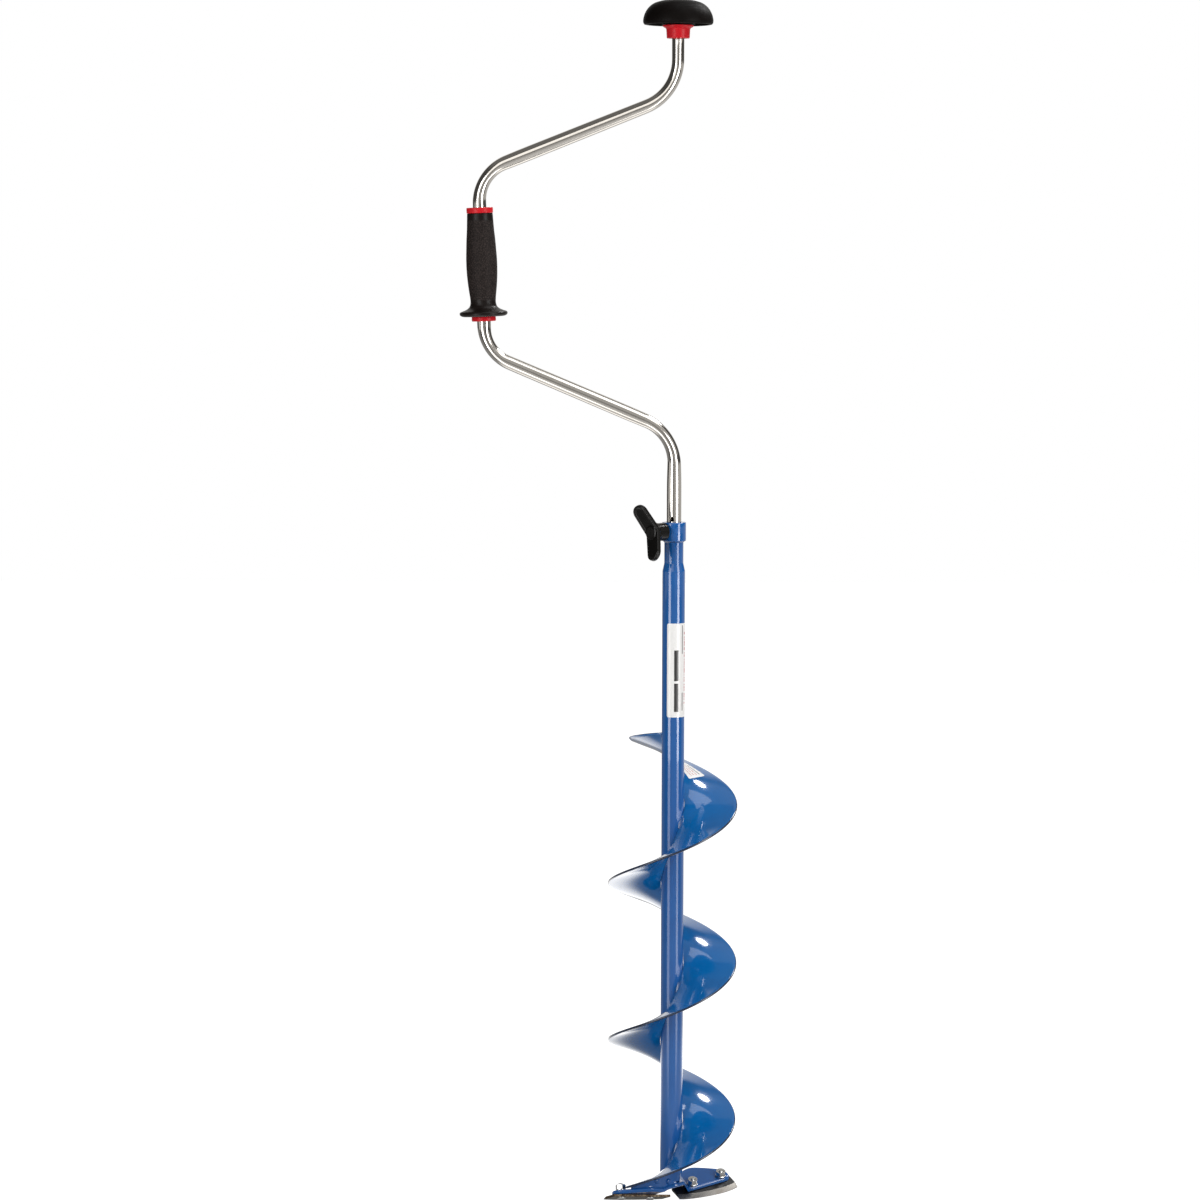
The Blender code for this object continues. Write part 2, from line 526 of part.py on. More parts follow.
def gusset():
    """An upright web that stands on the head's sheet round the foot of the shaft, carries the flight's lower end and holds two rivets."""
    def top(x, y):
        r = math.hypot(x, y)
        a = math.degrees(math.atan2(x, -y)) - 360.0
        return helix(r, a).z - FLIGHT_T / 2 * math.hypot(1.0, PITCH / (2 * math.pi) / r) - 1.3

    path = []
    for i, (a, b) in enumerate(zip(GUSSET_PLAN, GUSSET_PLAN[1:])):
        path += [Vector((a[0] + (b[0] - a[0]) * k / 3, a[1] + (b[1] - a[1]) * k / 3)) for k in range(3)]
    path.append(Vector(GUSSET_PLAN[-1]))
    rings = []
    for i, p in enumerate(path):
        along = (path[min(i + 1, len(path) - 1)] - path[max(i - 1, 0)]).normalized()
        q = p + Vector((-along.y, along.x)) * GUSSET_T
        low = max(head_height(p.x, p.y, SEAT_T), head_height(q.x, q.y, SEAT_T)) + 2 * GAP
        high = min(top(p.x, p.y), top(q.x, q.y))
        rings.append([(p.x, p.y, low), (p.x, p.y, high), (q.x, q.y, high), (q.x, q.y, low)])
    verts = [v for ring in rings for v in ring]
    faces = swept_rings(rings) + [(3, 2, 1, 0), tuple(range(len(verts) - 4, len(verts)))]
    mesh_object("head_gusset", verts, faces, colour=(0.012, 0.075, 0.26), roughness=0.3, sharp=40)
    for tag, at, z in (("a", 3.0, 29.6), ("b", 5.0, 25.4)):
        i = min(range(len(path)), key=lambda k: abs(k / 3 - at))
        along = (path[i + 1] - path[i - 1]).normalized()
        out = Vector((along.y, -along.x, 0.0))
        foot = Vector((path[i].x, path[i].y, z)) + out * (2 * GAP)
        turned(f"head_rivet_{tag}", [(0, 1.9), (1.6, 1.6), (2.7, 0.8), (3.0, 0.0), (0, 0.0)], steps=16, closed=False, origin=foot, turn=out.to_track_quat("Z", "Y").to_euler(), colour=(0.012, 0.075, 0.26), roughness=0.3)


def fastener(tag, s, twin):
    """A cap screw from below and a nut above the seat, both square to the blade."""
    foot = on_blade(s, BOLT_W, 0.0, twin)
    up = on_blade(s, BOLT_W, 1.0, twin) - foot
    stand = up.to_track_quat("Z", "Y").to_euler()
    low = -BLADE_T - GAP
    turned(
        f"blade_bolt_{tag}",
        [(0, 12.4), (BOLT_R - 0.5, 12.4), (BOLT_R, 11.9), (BOLT_R, low), (4.4, low), (4.7, low - 0.5), (4.3, low - 2.0), (3.0, low - 2.6), (0, low - 2.6)],
        steps=16, closed=False, origin=foot, turn=stand, colour=(0.55, 0.55, 0.55), roughness=0.28, metallic=1.0,
    )
    washer = SEAT_T + 2 * GAP
    turned(f"blade_washer_{tag}", [(BOLT_R + GAP, washer + 1.2), (5.6, washer + 1.2), (5.6, washer + 0.0), (BOLT_R + GAP, washer + 0.0)], steps=20, origin=foot, turn=stand, colour=(0.55, 0.55, 0.55), roughness=0.3, metallic=1.0)
    seat = washer + 1.2 + GAP
    bore = (BOLT_R + GAP) / math.cos(math.pi / 6) + 0.05
    nut = turned(
        f"blade_nut_{tag}",
        [(bore, seat + 5.0), (4.6, seat + 5.0), (5.55, seat + 4.4), (5.55, seat), (bore, seat)],
        steps=6, origin=foot, turn=stand, colour=(0.6, 0.6, 0.6), roughness=0.25, metallic=1.0,
    )
    return nut


# ---------------------------------------------------------------- labels
def labels():
    rows = 1
    spans = 16
    a0, a1 = -34.5, 118.0
    rings = []
    for i in range(spans + 1):
        a = math.radians(a0 + (a1 - a0) * i / spans)
        out = Vector((math.sin(a), -math.cos(a), 0))
        r0, r1 = SHAFT_R + GAP, SHAFT_R + GAP + 0.2
        rings.append([out * r1 + Vector((0, 0, 520.2)), out * r1 + Vector((0, 0, 619.2)), out * r0 + Vector((0, 0, 619.2)), out * r0 + Vector((0, 0, 520.2))])
    verts = [p for ring in rings for p in ring]
    faces = swept_rings(rings) + [(3, 2, 1, 0), tuple(range(len(verts) - 4, len(verts)))]
    mesh_object("shaft_label", verts, faces, colour=(0.85, 0.85, 0.84), roughness=0.35)
    lift = FLIGHT_T / 2 + GAP
    helix_slab("flight_label", 26.0, 53.0, 499.0, 545.0, lift, lift + 0.3, 4, 4.6, colour=(0.85, 0.85, 0.84), roughness=0.4)


shaft()
wing_screw()
handle_tube()
handle_trim()
knob()
grip()
flight()
blade("blade_a", False)
blade("blade_b", True)
cutting_head()
for side_tag, is_twin in (("a", False), ("b", True)):
    for number, along_blade in enumerate(BOLT_S, start=1):
        fastener(f"{side_tag}{number}", along_blade, is_twin)
labels()
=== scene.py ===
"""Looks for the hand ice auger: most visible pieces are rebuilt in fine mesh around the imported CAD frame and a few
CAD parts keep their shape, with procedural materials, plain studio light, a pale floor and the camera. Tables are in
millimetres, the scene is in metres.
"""

import math

import bmesh
import bpy
import numpy as np
from mathutils import Matrix, Vector, geometry, noise


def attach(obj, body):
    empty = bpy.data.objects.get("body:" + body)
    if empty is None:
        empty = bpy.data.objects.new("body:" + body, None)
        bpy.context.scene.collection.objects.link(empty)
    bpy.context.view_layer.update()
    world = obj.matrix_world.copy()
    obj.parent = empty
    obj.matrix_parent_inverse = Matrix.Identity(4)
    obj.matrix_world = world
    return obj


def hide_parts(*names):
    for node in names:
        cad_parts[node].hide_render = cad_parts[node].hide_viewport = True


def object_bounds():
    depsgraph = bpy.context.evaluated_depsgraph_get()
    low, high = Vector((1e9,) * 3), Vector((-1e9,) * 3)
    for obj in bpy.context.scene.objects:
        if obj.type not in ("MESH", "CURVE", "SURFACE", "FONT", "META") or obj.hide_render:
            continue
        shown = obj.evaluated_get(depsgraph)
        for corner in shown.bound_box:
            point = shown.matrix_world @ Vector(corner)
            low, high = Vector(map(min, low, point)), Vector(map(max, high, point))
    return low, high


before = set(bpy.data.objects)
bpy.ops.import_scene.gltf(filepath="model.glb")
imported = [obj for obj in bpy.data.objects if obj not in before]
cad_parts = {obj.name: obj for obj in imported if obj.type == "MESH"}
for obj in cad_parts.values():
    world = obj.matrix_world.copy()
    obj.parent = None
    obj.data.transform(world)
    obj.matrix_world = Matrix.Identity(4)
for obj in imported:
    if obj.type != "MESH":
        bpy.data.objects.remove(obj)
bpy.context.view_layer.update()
MM = 0.001
SCENE = bpy.context.scene

# shaft, collar and screw
SHAFT_R, SHAFT_BORE_R, NECK_R, NECK_BORE_R = 11.9, 9.9, 10.1, 8.1
SHAFT_Z0, TAPER_Z0, TAPER_Z1, NECK_Z1 = 29.4, 674.0, 681.4, 721.0
COLLAR_R, COLLAR_Z0, COLLAR_Z1 = 12.7, 705.0, 725.0
SCREW_Z, SCREW_AZIMUTH = 715.6, 47.0
HUB_R, HUB_NEAR, HUB_FAR, STUD_R = 9.2, 14.3, 34.0, 3.75
WING_LEAN, WING_REACH, WING_TIP_R, WING_T = 26.5, 22.6, 7.0, 5.4
WING_ROOT, WING_TIP_OUT = 29.5, 38.2

# handle
TUBE_R, TUBE_WALL, TUBE_Z0 = 7.7, 1.5, 440.0
SPINDLE_X, SPINDLE_Z1 = 2.2, 1257.0
CORNERS = [(0.0, 818.5, 50.0), (-197.6, 901.6, 42.0), (-204.5, 1087.0, 43.0), (2.2, 1169.4, 52.0)]
HOLE_R, HOLE_Z, HOLE_STEP, HOLES, HOLE_AZIMUTH = 2.6, 728.5, 38.0, 6, 17.5
GRIP_TOP, GRIP_BOTTOM, GRIP_SLOPE = 1046.0, 939.1, 0.03716

# flight
FLIGHT_R, FLIGHT_T, PITCH, FLIGHT_FRONT_Z, FLIGHT_A0 = 68.15, 2.4, 168.7, 215.8, -407.0
FLIGHT_END = [(12.2, 611.0), (20.0, 609.0), (32.0, 605.0), (42.0, 600.5), (50.0, 596.5), (58.0, 591.5), (63.0, 587.0), (66.5, 583.0), (68.15, 579.0)]
WELDS = ((585.0, 610.0), (396.0, 424.0), (214.0, 240.0), (22.0, 48.0), (-160.0, -132.0), (-352.0, -322.0))

# upright web under the flight's lower end: plan of its outer face, and its rivets (place along the plan, height)
GUSSET_T = 2.4
GUSSET_PLAN = ((-43.0, -41.6), (-38.0, -41.2), (-30.0, -41.2), (-22.0, -39.6), (-15.5, -35.0), (-9.5, -27.8), (-3.5, -20.2), (1.5, -15.9), (5.0, -14.2))
GUSSET_RIVETS = (("a", -15.5, -35.0, 29.6), ("b", -3.5, -20.2, 25.4))

# cutting head
BLADE_A = Vector((0.60, 12.25, 8.90))
BLADE_L = Vector((0.87227, 0.47114, 0.13104)).normalized()
BLADE_N = Vector((0.06038, -0.36966, 0.92720)).normalized()
BLADE_W = BLADE_L.cross(BLADE_N).normalized()
BLADE_T, BEVEL = 2.5, 6.1
BLADE_EDGE = [(0.4, 17.4), (4.5, 19.3), (10.8, 21.3), (18.5, 23.2), (27.3, 24.7), (38.0, 26.1), (50.8, 26.9), (60.0, 26.4), (68.99, 24.4)]
BOLT_S, BOLT_W, BOLT_R = (21.5, 56.5), 7.2, 2.45
SEAT_T, SEAT_FRONT, WEB_Z, GAP = 4.0, 14.0, 17.0, 0.3


# ================================================================ materials
class Nodes:
    """Short calls for building a material's node tree."""

    def __init__(self, name):
        self.mat = bpy.data.materials.new(name)
        self.mat.use_nodes = True
        self.tree = self.mat.node_tree
        self.shader = self.tree.nodes["Principled BSDF"]
        self.where = self.add("ShaderNodeTexCoord").outputs["Object"]

    def add(self, kind, **settings):
        node = self.tree.nodes.new(kind)
        for key, value in settings.items():
            setattr(node, key, value)
        return node

    def link(self, a, b):
        self.tree.links.new(a, b)

    def math(self, operation, a, b=None, c=None, clamp=False):
        node = self.add("ShaderNodeMath", operation=operation, use_clamp=clamp)
        for socket, value in zip(node.inputs, (a, b, c)):
            if value is None:
                continue
            if isinstance(value, (int, float)):
                socket.default_value = value
            else:
                self.link(value, socket)
        return node.outputs[0]

    def space(self, scale=(1, 1, 1), rotation=(0, 0, 0), offset=(0, 0, 0)):
        node = self.add("ShaderNodeMapping")
        node.inputs["Scale"].default_value = scale
        node.inputs["Rotation"].default_value = rotation
        node.inputs["Location"].default_value = offset
        self.link(self.where, node.inputs["Vector"])
        return node.outputs[0]

    def noise(self, scale, detail=3.0, rough=0.5, vector=None, distortion=0.0):
        node = self.add("ShaderNodeTexNoise")
        node.inputs["Scale"].default_value = scale
        node.inputs["Detail"].default_value = detail
        node.inputs["Roughness"].default_value = rough
        node.inputs["Distortion"].default_value = distortion
        self.link(vector if vector is not None else self.where, node.inputs["Vector"])
        return node.outputs["Fac"]

    def cells(self, scale, vector=None, feature="F1", randomness=1.0):
        node = self.add("ShaderNodeTexVoronoi", feature=feature)
        node.inputs["Scale"].default_value = scale
        node.inputs["Randomness"].default_value = randomness
        self.link(vector if vector is not None else self.where, node.inputs["Vector"])
        return node.outputs["Distance"]

    def ramp(self, fac, *stops):
        node = self.add("ShaderNodeValToRGB")
        ramp = node.color_ramp
        while len(ramp.elements) < len(stops):
            ramp.elements.new(0.5)
        for element, (at, colour) in zip(ramp.elements, stops):
            element.position = at
            element.color = (*colour, 1.0) if isinstance(colour, tuple) else (colour, colour, colour, 1.0)
        self.link(fac, node.inputs["Fac"])
        return node.outputs["Color"]

    def blend(self, fac, a, b):
        node = self.add("ShaderNodeMix", data_type="RGBA")
        colours = [s for s in node.inputs if s.type == "RGBA"]
        for socket, value in zip(colours, (a, b)):
            if isinstance(value, tuple):
                socket.default_value = (*value, 1.0)
            else:
                self.link(value, socket)
        self.link(fac, node.inputs[0])
        return [s for s in node.outputs if s.type == "RGBA"][0]

    def span(self, value, low, high, to_low, to_high):
        node = self.add("ShaderNodeMapRange")
        for key, number in (("From Min", low), ("From Max", high), ("To Min", to_low), ("To Max", to_high)):
            node.inputs[key].default_value = number
        self.link(value, node.inputs["Value"])
        return node.outputs["Result"]

    def soft(self, value, low, high):
        """0 at low and 1 at high, eased; low may be the larger."""
        node = self.add("ShaderNodeMapRange", interpolation_type="SMOOTHSTEP")
        ends = (low, high, 0.0, 1.0) if low < high else (high, low, 1.0, 0.0)
        for key, number in zip(("From Min", "From Max", "To Min", "To Max"), ends):
            node.inputs[key].default_value = number
        self.link(value, node.inputs["Value"])
        return node.outputs["Result"]

    def bump(self, height, strength, distance, under=None):
        node = self.add("ShaderNodeBump")
        node.inputs["Strength"].default_value = strength
        node.inputs["Distance"].default_value = distance
        self.link(height, node.inputs["Height"])
        if under is not None:
            self.link(under, node.inputs["Normal"])
        return node.outputs["Normal"]

    def finish(self, colour=None, roughness=None, normal=None, coat_normal=None, **fixed):
        for key, value in (("Base Color", colour), ("Roughness", roughness), ("Normal", normal), ("Coat Normal", coat_normal)):
            if value is not None:
                self.link(value, self.shader.inputs[key])
        for key, value in fixed.items():
            self.shader.inputs[key.replace("_", " ")].default_value = value
        return self.mat


def blue_enamel(name, deep, bright, peel=0.10):
    """Gloss powder coat: faint cloudiness, an orange-peel skin and dust specks."""
    n = Nodes(name)
    cloud = n.noise(22.0, 3.0)
    colour = n.blend(n.span(cloud, 0.35, 0.65, 0.0, 1.0), deep, bright)
    specks = n.span(n.cells(420.0), 0.03, 0.07, 1.0, 0.0)
    rare = n.span(n.noise(90.0, 1.0), 0.62, 0.68, 0.0, 1.0)
    colour = n.blend(n.math("MULTIPLY", n.math("MULTIPLY", specks, rare, clamp=True), 0.35), colour, (0.10, 0.22, 0.42))
    rough = n.span(n.noise(60.0, 4.0, 0.6), 0.3, 0.7, 0.10, 0.19)
    peel_height = n.noise(300.0, 2.0, 0.45)
    wave = n.noise(70.0, 2.0, 0.5)
    normal = n.bump(wave, 0.03, 0.0003, n.bump(peel_height, peel * 0.35, 0.0001))
    return n.finish(colour, rough, normal, n.bump(wave, 0.02, 0.0003), Coat_Weight=0.8, Coat_Roughness=0.03, Coat_IOR=1.5, IOR=1.36)


def steel(name, colour, low, high, lines, direction=(1, 1, 0.02), scratch=0.05, aniso=0.0):
    """Bright metal with fine drawn lines, faint smears and small handling marks."""
    n = Nodes(name)
    streak = n.noise(lines, 3.0, 0.6, n.space(direction))
    smear = n.noise(14.0, 3.0, 0.55)
    tone = n.blend(n.span(streak, 0.3, 0.7, 0.0, 1.0), tuple(c * 0.90 for c in colour), colour)
    rough = n.math("ADD", n.span(streak, 0.3, 0.7, low, high), n.span(smear, 0.4, 0.7, 0.0, 0.05))
    pits = n.span(n.cells(700.0), 0.02, 0.10, 0.0, 1.0)
    normal = n.bump(streak, scratch, 0.0001, n.bump(pits, 0.04, 0.0001))
    return n.finish(tone, rough, normal, None, Metallic=1.0, Anisotropic=aniso)


def drawn_tube(name):
    """Polished stainless tube. Fine lines run along it, crossed by slanted ones."""
    n = Nodes(name)
    along = n.noise(900.0, 3.0, 0.65, n.space((1.0, 1.0, 0.03)))
    slanted = n.noise(1100.0, 2.0, 0.65, n.space((0.03, 1.0, 1.0), (0.0, 0.41, 0.0)))
    speckle = n.noise(1500.0, 2.0, 0.7)
    smear = n.noise(16.0, 3.0, 0.6)
    pick = n.span(smear, 0.35, 0.65, 0.0, 1.0)
    streak = n.math("ADD", n.math("MULTIPLY", along, 0.6), n.math("MULTIPLY", slanted, 0.4))
    tone = n.blend(n.span(streak, 0.35, 0.65, 0.0, 1.0), (0.60, 0.572, 0.535), (0.69, 0.662, 0.62))
    rough = n.math("ADD", n.span(streak, 0.35, 0.65, 0.095, 0.125), n.math("MULTIPLY", pick, 0.02))
    normal = n.bump(speckle, 0.0002, 0.00005, n.bump(streak, 0.0004, 0.00005))
    return n.finish(tone, rough, normal, None, Metallic=1.0)


def plastic(name, colour, lighter, rough_low, rough_high, grain, depth, coat=0.0, spec=0.5):
    n = Nodes(name)
    mottle = n.noise(55.0, 4.0, 0.6)
    tone = n.blend(n.span(mottle, 0.35, 0.65, 0.0, 1.0), colour, lighter)
    skin = n.cells(grain)
    rough = n.span(n.noise(180.0, 3.0), 0.3, 0.7, rough_low, rough_high)
    normal = n.bump(skin, depth, 0.0002, n.bump(mottle, 0.02, 0.0004))
    return n.finish(tone, rough, normal, None, Coat_Weight=coat, Coat_Roughness=0.08, Specular_IOR_Level=spec)


def stippled_grip():
    """Brown-black moulded grip, stippled over its middle and plain in a band at either end; the pebble tops are painted
    lighter, a painted highlight.
    """
    n = Nodes("grip_stipple")
    height = n.add("ShaderNodeSeparateXYZ")
    n.link(n.where, height.inputs[0])
    z = height.outputs["Z"]
    low = n.span(z, 0.9555, 0.9575, 0.0, 1.0)
    high = n.span(z, 1.0375, 1.0390, 1.0, 0.0)
    zone = n.math("MULTIPLY", low, high, clamp=True)
    pebble = n.span(n.cells(900.0), 0.05, 0.55, 1.0, 0.0)
    fine = n.noise(1300.0, 2.0, 0.6)
    bumps = n.math("MULTIPLY", n.math("ADD", n.math("MULTIPLY", pebble, 0.8), n.math("MULTIPLY", fine, 0.35)), zone)
    patch = n.noise(45.0, 3.0)
    tone = n.blend(n.span(patch, 0.35, 0.65, 0.0, 1.0), (0.0060, 0.0036, 0.0030), (0.0090, 0.0060, 0.0052))
    # pebble tops painted lighter: a painted highlight on the stippling
    tone = n.blend(n.math("MULTIPLY", n.math("MULTIPLY", pebble, zone), 0.65), tone, (0.082, 0.060, 0.055))
    rough = n.span(zone, 0.0, 1.0, 0.36, 0.62)
    normal = n.bump(bumps, 0.55, 0.0004, n.bump(n.noise(300.0, 2.0), 0.05, 0.0003))
    return n.finish(tone, rough, normal, None, Specular_IOR_Level=0.16)


def blade_axes(turned):
    """Rotation that lays object space along a blade: X along it, Y across it, Z through it."""
    rows = Matrix((BLADE_L, BLADE_W, BLADE_N))
    if turned:
        rows = Matrix((Vector((-BLADE_L.x, -BLADE_L.y, BLADE_L.z)), Vector((-BLADE_W.x, -BLADE_W.y, BLADE_W.z)), Vector((-BLADE_N.x, -BLADE_N.y, BLADE_N.z))))
    return tuple(rows.to_euler("XYZ"))


def ground_steel(name, turned):
    """A surface-ground bevel: grinding lines run across it, with faint heat tint and nicks."""
    n = Nodes(name)
    frame_vector = n.space((1, 1, 1), blade_axes(turned))
    stretch = n.add("ShaderNodeMapping")
    stretch.inputs["Scale"].default_value = (1.0, 0.06, 0.06)
    n.link(frame_vector, stretch.inputs["Vector"])
    lines = n.noise(1700.0, 3.0, 0.7, stretch.outputs[0])
    broad = n.noise(60.0, 3.0, 0.6)
    tone = n.blend(n.span(lines, 0.3, 0.7, 0.0, 1.0), (0.20, 0.185, 0.168), (0.34, 0.325, 0.30))
    tone = n.blend(n.span(broad, 0.5, 0.75, 0.0, 0.5), tone, (0.16, 0.13, 0.10))
    rough = n.math("ADD", n.span(lines, 0.3, 0.7, 0.32, 0.48), n.span(broad, 0.4, 0.7, 0.0, 0.08))
    return n.finish(tone, rough, n.bump(lines, 0.05, 0.0001), None, Metallic=1.0)


def blackened(name):
    """Oil-blackened steel with handling scuffs."""
    n = Nodes(name)
    scuff = n.noise(130.0, 5.0, 0.7)
    fine = n.noise(900.0, 3.0, 0.6, n.space((1.0, 0.15, 1.0), (0, 0, 0.5)))
    tone = n.blend(n.span(scuff, 0.62, 0.74, 0.0, 0.7), (0.010, 0.010, 0.011), (0.060, 0.055, 0.048))
    rough = n.span(fine, 0.3, 0.7, 0.26, 0.42)
    return n.finish(tone, rough, n.bump(fine, 0.10, 0.0001), None, Metallic=0.25)


def sheared_edge():
    """The sheared back edge of a blade: dark with brown-gold patches, and short vertical tears."""
    n = Nodes("blade_sheared_edge")
    tears = n.noise(700.0, 4.0, 0.7, n.space((1.0, 1.0, 0.12)))
    patch = n.noise(160.0, 4.0, 0.7)
    tone = n.ramp(patch, (0.30, (0.018, 0.014, 0.011)), (0.50, (0.11, 0.070, 0.038)), (0.68, (0.30, 0.24, 0.16)))
    tone = n.blend(n.span(tears, 0.45, 0.65, 0.0, 0.7), tone, (0.03, 0.022, 0.018))
    rough = n.span(tears, 0.3, 0.7, 0.35, 0.62)
    return n.finish(tone, rough, n.bump(tears, 0.35, 0.0002), None, Metallic=0.7)


def label_stock(name, marks):
    """Coated white label. marks is a list of (low angle, high angle, low z, high z, colour, break scale) in degrees and metres; the bars are plain blocks."""
    n = Nodes(name)
    place = n.add("ShaderNodeSeparateXYZ")
    n.link(n.where, place.inputs[0])
    x, y, z = (place.outputs[k] for k in "XYZ")
    turn = n.math("MULTIPLY", n.math("ARCTAN2", x, n.math("MULTIPLY", y, -1.0)), 180.0 / math.pi)
    fibre = n.noise(900.0, 4.0, 0.6)
    tone = n.blend(n.span(fibre, 0.35, 0.65, 0.0, 1.0), (0.84, 0.832, 0.815), (0.90, 0.892, 0.88))
    for low, high, z0, z1, colour, breaks in marks:
        mask = None
        for value, edge, operation in ((turn, low, "GREATER_THAN"), (turn, high, "LESS_THAN"), (z, z0, "GREATER_THAN"), (z, z1, "LESS_THAN")):
            test = n.math(operation, value, edge)
            mask = test if mask is None else n.math("MULTIPLY", mask, test)
        if breaks:
            wave = n.add("ShaderNodeTexNoise", noise_dimensions="1D")
            wave.inputs["Scale"].default_value = breaks
            wave.inputs["Detail"].default_value = 0.0
            n.link(z, wave.inputs["W"])
            mask = n.math("MULTIPLY", mask, n.math("GREATER_THAN", wave.outputs["Fac"], 0.47))
        tone = n.blend(mask, tone, colour)
    rough = n.span(n.noise(120.0, 3.0), 0.3, 0.7, 0.30, 0.42)
    return n.finish(tone, rough, n.bump(fibre, 0.05, 0.0001), None, Coat_Weight=0.3, Coat_Roughness=0.12)


BLUE = blue_enamel("blue_gloss_coat", (0.0064, 0.092, 0.330), (0.0080, 0.106, 0.365))
# lighter, purer copy of the coat for the flight: painted light for its top-lit faces
BLUE_FLIGHT_LIT_COPY = blue_enamel("blue_gloss_coat_flight_painted_light", (0.0008, 0.104, 0.335), (0.0012, 0.120, 0.370), 0.05)
# darker blue-black copy of the coat for the flight's rim and end faces: painted shade of the thin edge line
BLUE_RIM_PAINTED_SHADE = blue_enamel("blue_coat_rim_painted_shade", (0.0030, 0.010, 0.032), (0.0040, 0.022, 0.070))
# darker copy of the coat for the welds, the spatter and the collar weld: painted shade in the root creases and under
# the collar
BLUE_WELD_PAINTED_SHADE = blue_enamel("blue_gloss_coat_weld_painted_shade", (0.0030, 0.060, 0.220), (0.0040, 0.074, 0.250), 0.12)
STEEL_TUBE = drawn_tube("polished_tube")
ZINC = steel("bright_zinc", (0.70, 0.70, 0.69), 0.14, 0.26, 420.0, (1, 1, 1), 0.06)
ZINC_INNER = steel("dull_zinc", (0.52, 0.52, 0.52), 0.28, 0.40, 300.0, (1, 1, 1), 0.06)
BLACK_KNOB = plastic("knob_grain", (0.0022, 0.0013, 0.0010), (0.0034, 0.0022, 0.0018), 0.46, 0.58, 1500.0, 0.12, 0.0, 0.07)
BLACK_WING = plastic("wing_screw_moulding", (0.0016, 0.0014, 0.0011), (0.0026, 0.0023, 0.0019), 0.22, 0.30, 1800.0, 0.02, 0.0, 0.28)
BLACK_BUSH = plastic("guide_bush_moulding", (0.010, 0.010, 0.011), (0.015, 0.015, 0.016), 0.42, 0.55, 1500.0, 0.10, 0.0, 0.35)
RED = plastic("red_gloss_moulding", (0.56, 0.0100, 0.018), (0.63, 0.0140, 0.022), 0.28, 0.36, 1200.0, 0.003, 0.0, 0.16)
GRIP = stippled_grip()
BLADE_TOP = blackened("blade_black_oxide")
BLADE_BACK = sheared_edge()
LABEL = label_stock(
    "shaft_label_stock",
    [
        (3.0, 26.0, 0.526, 0.556, (0.016, 0.015, 0.015), 0.0),
        (3.0, 26.0, 0.5585, 0.591, (0.016, 0.015, 0.015), 0.0),
        (46.0, 54.0, 0.527, 0.546, (0.30, 0.29, 0.29), 0.0),
        (46.0, 54.0, 0.587, 0.617, (0.30, 0.29, 0.29), 0.0),
        (66.0, 76.0, 0.534, 0.612, (0.48, 0.05, 0.06), 420.0),
        (90.0, 94.0, 0.534, 0.612, (0.30, 0.29, 0.29), 0.0),
    ],
)


# ================================================================ mesh helpers
def put(name, verts, faces, mat, body, nodes=(), smooth=35.0, face_slots=None, recalc=True):
    """A piece from points in millimetres; mat is one material or a list that face_slots picks from."""
    mesh = bpy.data.meshes.new(name)
    mesh.from_pydata([tuple(c * MM for c in v) for v in verts], [], faces)
    for m in mat if isinstance(mat, (list, tuple)) else [mat]:
        mesh.materials.append(m)
    if face_slots is not None:
        mesh.polygons.foreach_set("material_index", face_slots)
    bm = bmesh.new()
    bm.from_mesh(mesh)
    bmesh.ops.remove_doubles(bm, verts=bm.verts, dist=1e-6)
    if recalc:
        bmesh.ops.recalc_face_normals(bm, faces=bm.faces)
    bm.to_mesh(mesh)
    bm.free()
    mesh.polygons.foreach_set("use_smooth", [True] * len(mesh.polygons))
    mesh.set_sharp_from_angle(angle=math.radians(smooth))
    obj = bpy.data.objects.new(name, mesh)
    SCENE.collection.objects.link(obj)
    bpy.context.view_layer.update()
    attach(obj, body)
    if nodes:
        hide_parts(*nodes)
    return obj


def bake_modifiers(obj):
    """Turns an object's modifiers into its mesh."""
    graph = bpy.context.evaluated_depsgraph_get()
    done = bpy.data.meshes.new_from_object(obj.evaluated_get(graph), preserve_all_data_layers=True, depsgraph=graph)
    old = obj.data
    obj.modifiers.clear()
    obj.data = done
    bpy.data.meshes.remove(old)
    done.name = obj.name
    return obj


def rounded(profile, closed=True, steps=5):
    """Rounds the corners of a (radius, height[, fillet]) line."""
    points = [(p[0], p[1], p[2] if len(p) > 2 else 0.0) for p in profile]
    count = len(points)
    out = []
    for i, (r, z, fillet) in enumerate(points):
        if fillet <= 0 or (not closed and i in (0, count - 1)):
            out.append((r, z))
            continue
        here = Vector((r, z))
        a = Vector(points[(i - 1) % count][:2]) - here
        b = Vector(points[(i + 1) % count][:2]) - here
        angle = a.angle(b)
        if angle > math.radians(178):
            out.append((r, z))
            continue
        back = min(fillet / math.tan(angle / 2), a.length * 0.48, b.length * 0.48)
        radius = back * math.tan(angle / 2)
        a.normalize()
        b.normalize()
        centre = here + (a + b).normalized() * (radius / math.sin(angle / 2))
        start, end = here + a * back - centre, here + b * back - centre
        sweep = start.angle_signed(end)
        for k in range(steps + 1):
            t = -sweep * k / steps
            c, s = math.cos(t), math.sin(t)
            out.append((centre.x + start.x * c - start.y * s, centre.y + start.x * s + start.y * c))
    return out


